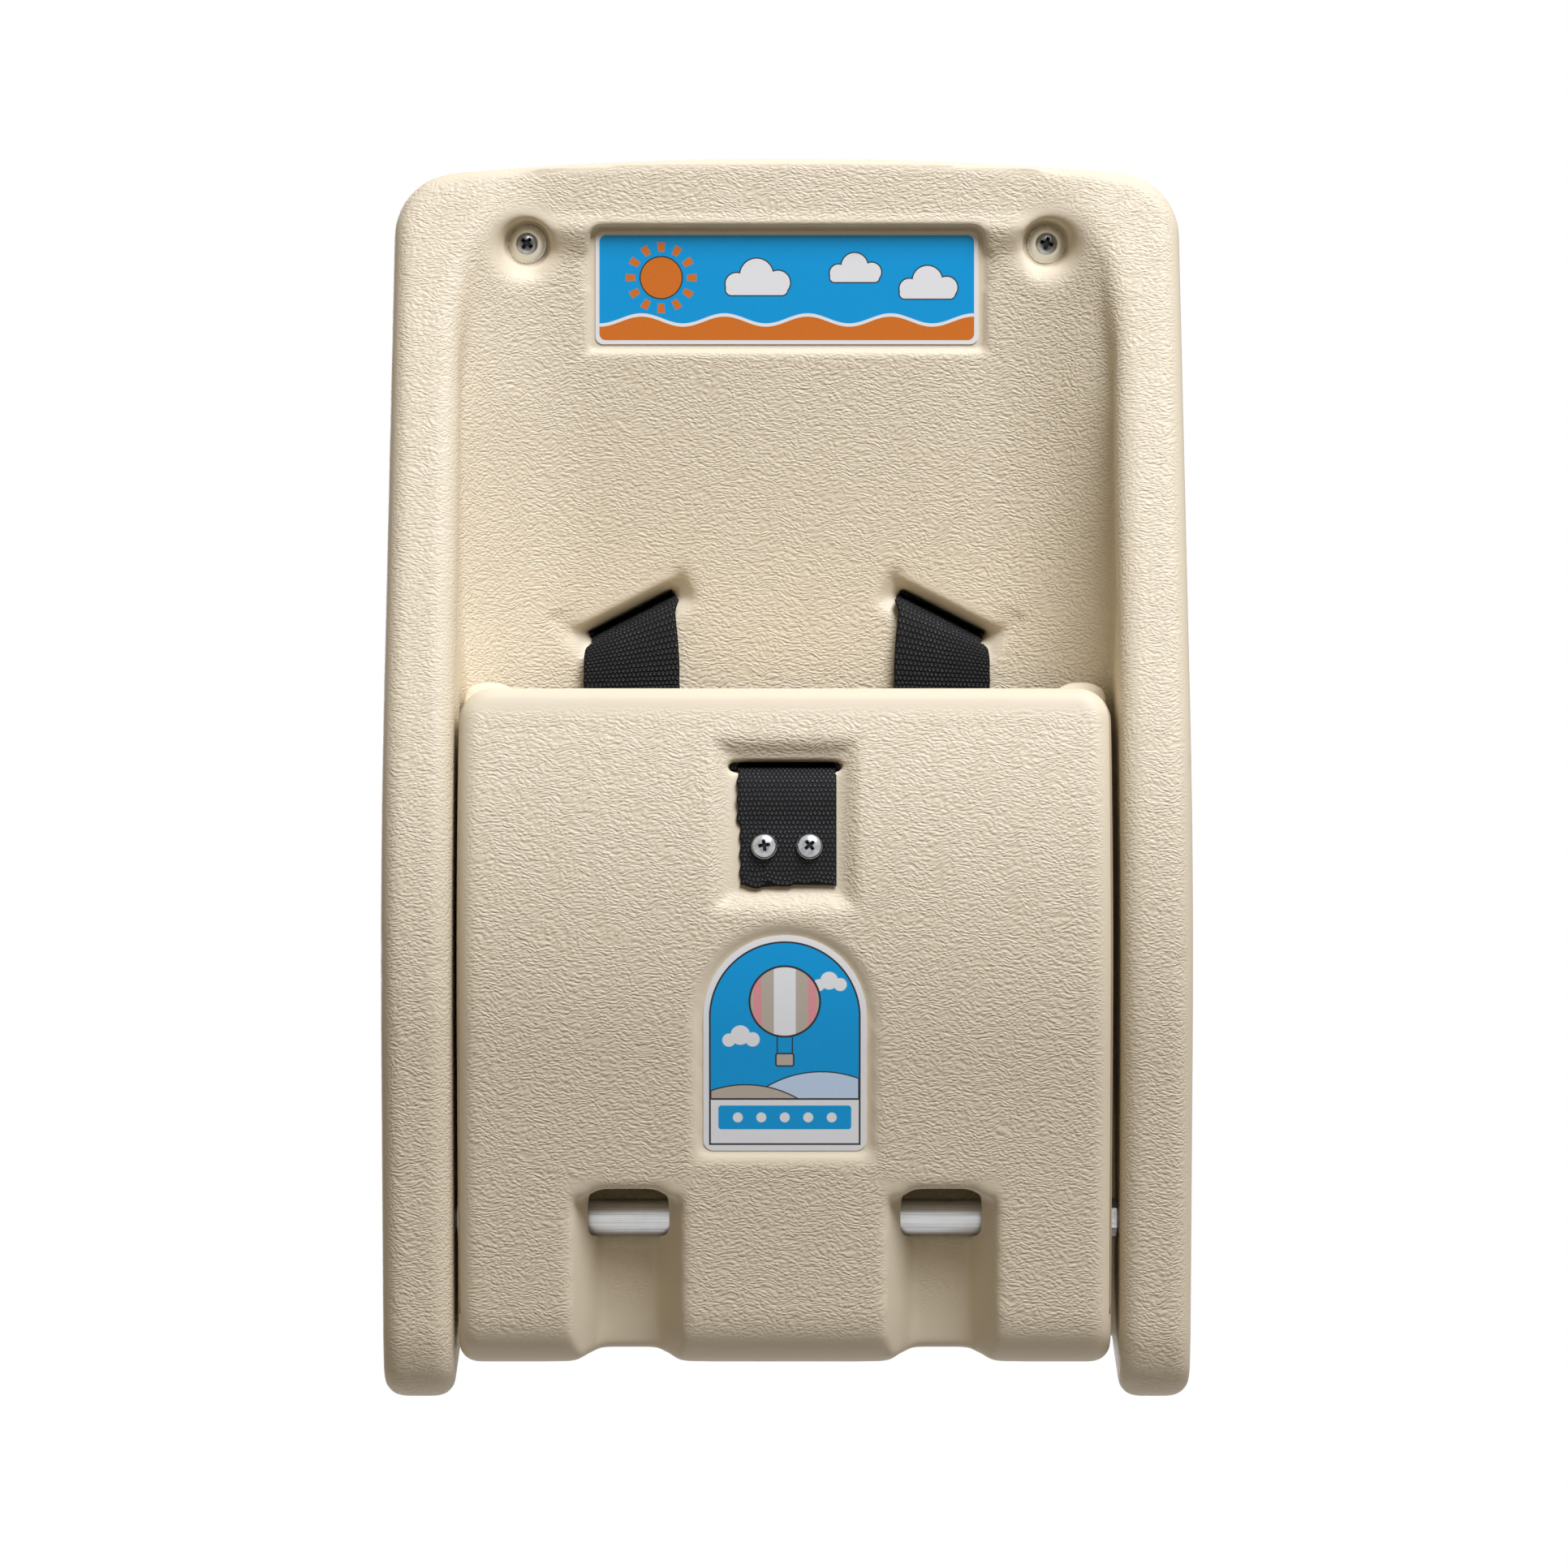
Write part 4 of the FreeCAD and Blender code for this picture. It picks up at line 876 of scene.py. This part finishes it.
def lay(model, name, spots, material, body, slot, node, angle):  # copies of a model, each turned and placed
    for number, (spot, tilt, spin) in enumerate(spots, 1):
        obj = bpy.data.objects.new(name + "_" + str(number), model.data.copy())
        bpy.context.scene.collection.objects.link(obj)
        turn = Matrix.Rotation(math.radians(tilt), 4, "X") @ Matrix.Rotation(math.radians(spin), 4, "Z")
        obj.data.transform(Matrix.Translation(spot) @ turn)
        dress(obj, material, body, slot, node, angle=angle)
    bpy.data.objects.remove(model)


# darker: how strongly the dome is painted dark, a painted reflection
wallScrew = {"head": 13.8, "dome": 8.6, "tall": 4.4, "rim": 0.6, "neck": 5.4, "neckLong": 52.7, "thread": 6.3,
             "reach": 38.0, "tip": 8.0, "pitch": 2.1, "drive": 6.2, "slot": 1.6, "deep": 2.8, "darker": 0.8,
             "seat": 52.7, "spins": (35, 52, 18, 74)}
wallSpots = [(x, height) for x in (-back["screwX"], back["screwX"])
             for height in (back["screwLow"], back["screwHigh"])]
lay(crossScrew("wallScrewModel", wallScrew), "wall_screw",
    [(at(x, wallScrew["seat"], height), 90, spin) for (x, height), spin in zip(wallSpots, wallScrew["spins"])],
    screwSteel, "back", "screw_steel", "wall_screws", 35)
wallWasher = {"outer": 16.0, "inner": 6.6, "thick": 1.2, "seat": 51.5}
lay(washer("wallWasherModel", wallWasher), "wall_washer",
    [(at(x, wallWasher["seat"], height), 90, 0) for x, height in wallSpots],
    washerSteel, "back", "screw_steel", "wall_washers", 50)

# darker: how strongly the dome is painted dark, a painted reflection
tailScrew = {"head": 9.6, "dome": 9.6, "tall": 3.0, "rim": 0.6, "neck": 4.2, "neckLong": 2.7, "thread": 4.8,
             "reach": 15.7, "tip": 4.8, "pitch": 1.8, "drive": 5.2, "slot": 1.4, "deep": 2.0, "darker": 0.42,
             "apart": 17.4, "spins": (8, 40, 62, 25), "tailRise": 28.0, "tailSeat": 3.8}
tailWasher = {"outer": 10.0, "inner": 5.1, "thick": 0.8, "tailSeat": 4.6}
crotchScrews = {"height": 214.4, "inset": 2.1, "lean": 7.85}


def crotchSpot(x, lift):
    lean = math.radians(crotchScrews["lean"])
    inset = crotchScrews["inset"] - lift
    depth = frontDepth(crotchScrews["height"]) - inset * math.cos(lean)
    return at(x + crotch["x"], depth, crotchScrews["height"] - inset * math.sin(lean))


def tailSpot(side, x, depth):
    turn, rise = math.radians(back["slotTurn"]), tailScrew["tailRise"]
    across = -back["slotX"] + x * math.cos(turn) - rise * math.sin(turn)
    return at(across * -side, depth, back["slotHeight"] + x * math.sin(turn) + rise * math.cos(turn))


pair = (-tailScrew["apart"] / 2, tailScrew["apart"] / 2)
square = 90 - crotchScrews["lean"]
lay(crossScrew("crotchScrewModel", tailScrew), "crotch_screw",
    [(crotchSpot(x, tailWasher["thick"]), square, spin) for x, spin in zip(pair, tailScrew["spins"])],
    screwSteel, "seat", "screw_steel", "crotch_screws", 35)
lay(washer("crotchWasherModel", tailWasher), "crotch_washer",
    [(crotchSpot(x, 0), square, 0) for x in pair], washerSteel, "seat", "screw_steel", "crotch_washers", 50)
tailSpots = [(side, x) for side in (-1, 1) for x in pair]
lay(crossScrew("shoulderScrewModel", tailScrew), "shoulder_screw",
    [(tailSpot(side, x, tailScrew["tailSeat"]), -90, spin)
     for (side, x), spin in zip(tailSpots, tailScrew["spins"])],
    screwSteel, "back", "screw_steel", "shoulder_screws", 35)
lay(washer("shoulderWasherModel", tailWasher), "shoulder_washer",
    [(tailSpot(side, x, tailWasher["tailSeat"]), -90, 0) for side, x in tailSpots],
    washerSteel, "back", "screw_steel", "shoulder_washers", 50)
print("screws made")


# Pivot hardware and buckle
paintNode("pivot_rod", rodMetal, 0.3)
for name in ("left_pivot_bolt", "right_pivot_bolt", "pivot_head_washers", "pivot_jam_nut", "pivot_thrust_washer"):
    paintNode(name, nutSteel, 0.25)
paintNode("pivot_bushes", bushPlastic, 0.3)
paintNode("buckle_socket", bucklePlastic, 0.4)
paintNode("buckle_tongue", bucklePlastic, 0.4)


# Printed labels, drawn with distances in mm from each shape's edge
def circle(made, x, y, centreX, centreY, radius):
    across, up = x - centreX, y - centreY
    return made.maths("SQRT", across * across + up * up) - radius


def box(made, x, y, centreX, centreY, halfX, halfY, corner):
    across = made.maths("MAXIMUM", abs(x - centreX) - (halfX - corner), 0.0)
    up = made.maths("MAXIMUM", abs(y - centreY) - (halfY - corner), 0.0)
    return made.maths("SQRT", across * across + up * up) - corner


def join(made, first, *others):
    for other in others:
        first = made.maths("MINIMUM", first, other)
    return first


def puffs(made, x, y, shift, rise, size):  # the three rounds of a cloud
    return join(made, circle(made, x, y, shift - 8 * size, rise - 1.5 * size, 4.6 * size),
                circle(made, x, y, shift, rise + 2 * size, 6.8 * size),
                circle(made, x, y, shift + 8.5 * size, rise - 1 * size, 5.0 * size))


class Print(Finish):  # a label under way, inked shape by shape
    def begin(self, height, shift=0.0):
        x, z = self.split(self.place())[::2]
        self.x, self.y = x * (1 / mm) - shift, z * (1 / mm) + (zeroHeight - height)
        self.ink = printed["white"]

    def fill(self, edge, colour, soft=0.12):  # ink wherever the distance is below nought
        self.ink = self.mix(self.mask(edge, soft, -soft), self.ink, colour)

    def outline(self, edge, wide):
        self.fill(abs(edge) - wide / 2, printed["line"])

    def done(self, relief):
        speck = self.noise(self.place(), 700.0)
        return self.feed(Base_Color=self.ink, Roughness=0.24 + speck * 0.1, Normal=self.bump(speck, relief))


printed = {"white": rgb(0.83, 0.84, 0.84), "blue": rgb(0.0, 0.33, 0.71), "orange": rgb(0.66, 0.17, 0.015),
           "line": rgb(0.012, 0.012, 0.014), "pale": rgb(0.55, 0.7, 0.86), "sand": rgb(0.5, 0.44, 0.36),
           "rose": rgb(0.75, 0.3, 0.33)}


def backPrint():
    made = Print("backPrint", Specular_IOR_Level=0.3)
    made.begin(back["labelHeight"])
    x, y = made.x, made.y
    inside = box(made, x, y, 0, 0, 74.6, 20.9, 2.6)
    made.fill(inside, printed["blue"])
    waves = y + 13.5 - made.maths("SINE", x * 0.19) * 2.0
    made.fill(made.maths("MAXIMUM", waves - 1.3, inside), printed["white"])
    made.fill(made.maths("MAXIMUM", waves, inside), printed["orange"])
    angle = made.maths("ARCTAN2", y - 4, x + 50)
    away = circle(made, x, y, -50, 4, 0)
    rays = made.maths("MAXIMUM", abs(away - 12.2) - 1.9, 0.25 - made.maths("COSINE", angle * 12))
    made.fill(rays, printed["orange"])
    made.fill(away - 8.4, printed["orange"])
    made.outline(away - 8.4, 0.5)
    for shift, rise, size in ((-12.0, 3.0, 1.0), (27.0, 7.0, 0.8), (56.0, 1.0, 0.9)):
        base = box(made, x, y, shift, rise - 3.6 * size, 12.5 * size, 2.6 * size, 2.5 * size)
        cloud = join(made, puffs(made, x, y, shift, rise, size), base)
        made.fill(cloud, printed["white"])
        made.outline(cloud, 0.5)
    return made.done(0.000008)


def seatPrint():
    made = Print("seatPrint", Specular_IOR_Level=0.3)
    made.begin(seat["archSpring"], seatShift)
    x, y = made.x, made.y
    up = made.maths("MAXIMUM", y, 0.0)
    arch = made.maths("MAXIMUM", made.maths("SQRT", x * x + up * up) - 31.25, -51.45 - y)
    made.fill(arch + 2.2, printed["line"])
    inside = arch + 2.9
    made.fill(inside, printed["blue"])
    for centreX, centreY, radius, tone in ((14, -62, 41, "pale"), (-15, -66, 40, "sand")):
        hill = made.maths("MAXIMUM", circle(made, x, y, centreX, centreY, radius), inside)
        made.fill(hill, printed[tone])
        made.outline(hill, 0.5)
    for shift, rise, size in ((-17.0, -8.0, 0.55), (17.0, 13.0, 0.5)):
        made.fill(puffs(made, x, y, shift, rise, size), printed["white"])
    balloon = circle(made, x, y, 0, 6, 13.5)
    made.fill(balloon, printed["sand"])
    made.fill(made.maths("MAXIMUM", abs(x) - 4.2, balloon), printed["white"])
    made.fill(made.maths("MAXIMUM", abs(abs(x) - 10.5) - 1.6, balloon), printed["rose"])
    made.outline(balloon, 0.8)
    basket = box(made, x, y, 0, -16.4, 3.4, 2.4, 0.8)
    ropes = made.maths("MAXIMUM", abs(abs(x) - 2.9) - 0.25, made.maths("MAXIMUM", y + 6.8, -15 - y))
    made.fill(ropes, printed["line"])
    made.fill(basket, printed["sand"])
    made.outline(basket, 0.6)
    foot = made.maths("MAXIMUM", y + 31.5, inside)
    made.fill(foot, printed["white"])
    made.fill(made.maths("MAXIMUM", abs(y + 31.5) - 0.35, inside), printed["line"])
    made.fill(box(made, x, y, 0, -38.6, 25.5, 4.6, 1.2), printed["blue"])
    for shift in (-18, -9, 0, 9, 18):
        made.fill(circle(made, x, y, shift, -38.6, 1.9), printed["white"])
    return made.done(0.000008)


paintNode("back_label", backPrint())
paintNode("seat_label", seatPrint())
print("labels printed")


# Floor
bpy.ops.object.select_all(action="DESELECT")
bpy.ops.mesh.primitive_circle_add(vertices=96, radius=studio["floorRadius"], fill_type="NGON",
                                  location=(0, -0.1, -studio["floorDrop"]))
floor = bpy.context.object
floor.name = "studio_floor"
floorPaint = Finish("floorPaint", Roughness=0.8)
floor.data.materials.append(floorPaint.feed(Base_Color=floorPaint.mix(
    floorPaint.noise(floorPaint.place(), 3.0), rgb(0.8, 0.8, 0.79), rgb(0.83, 0.83, 0.82))))
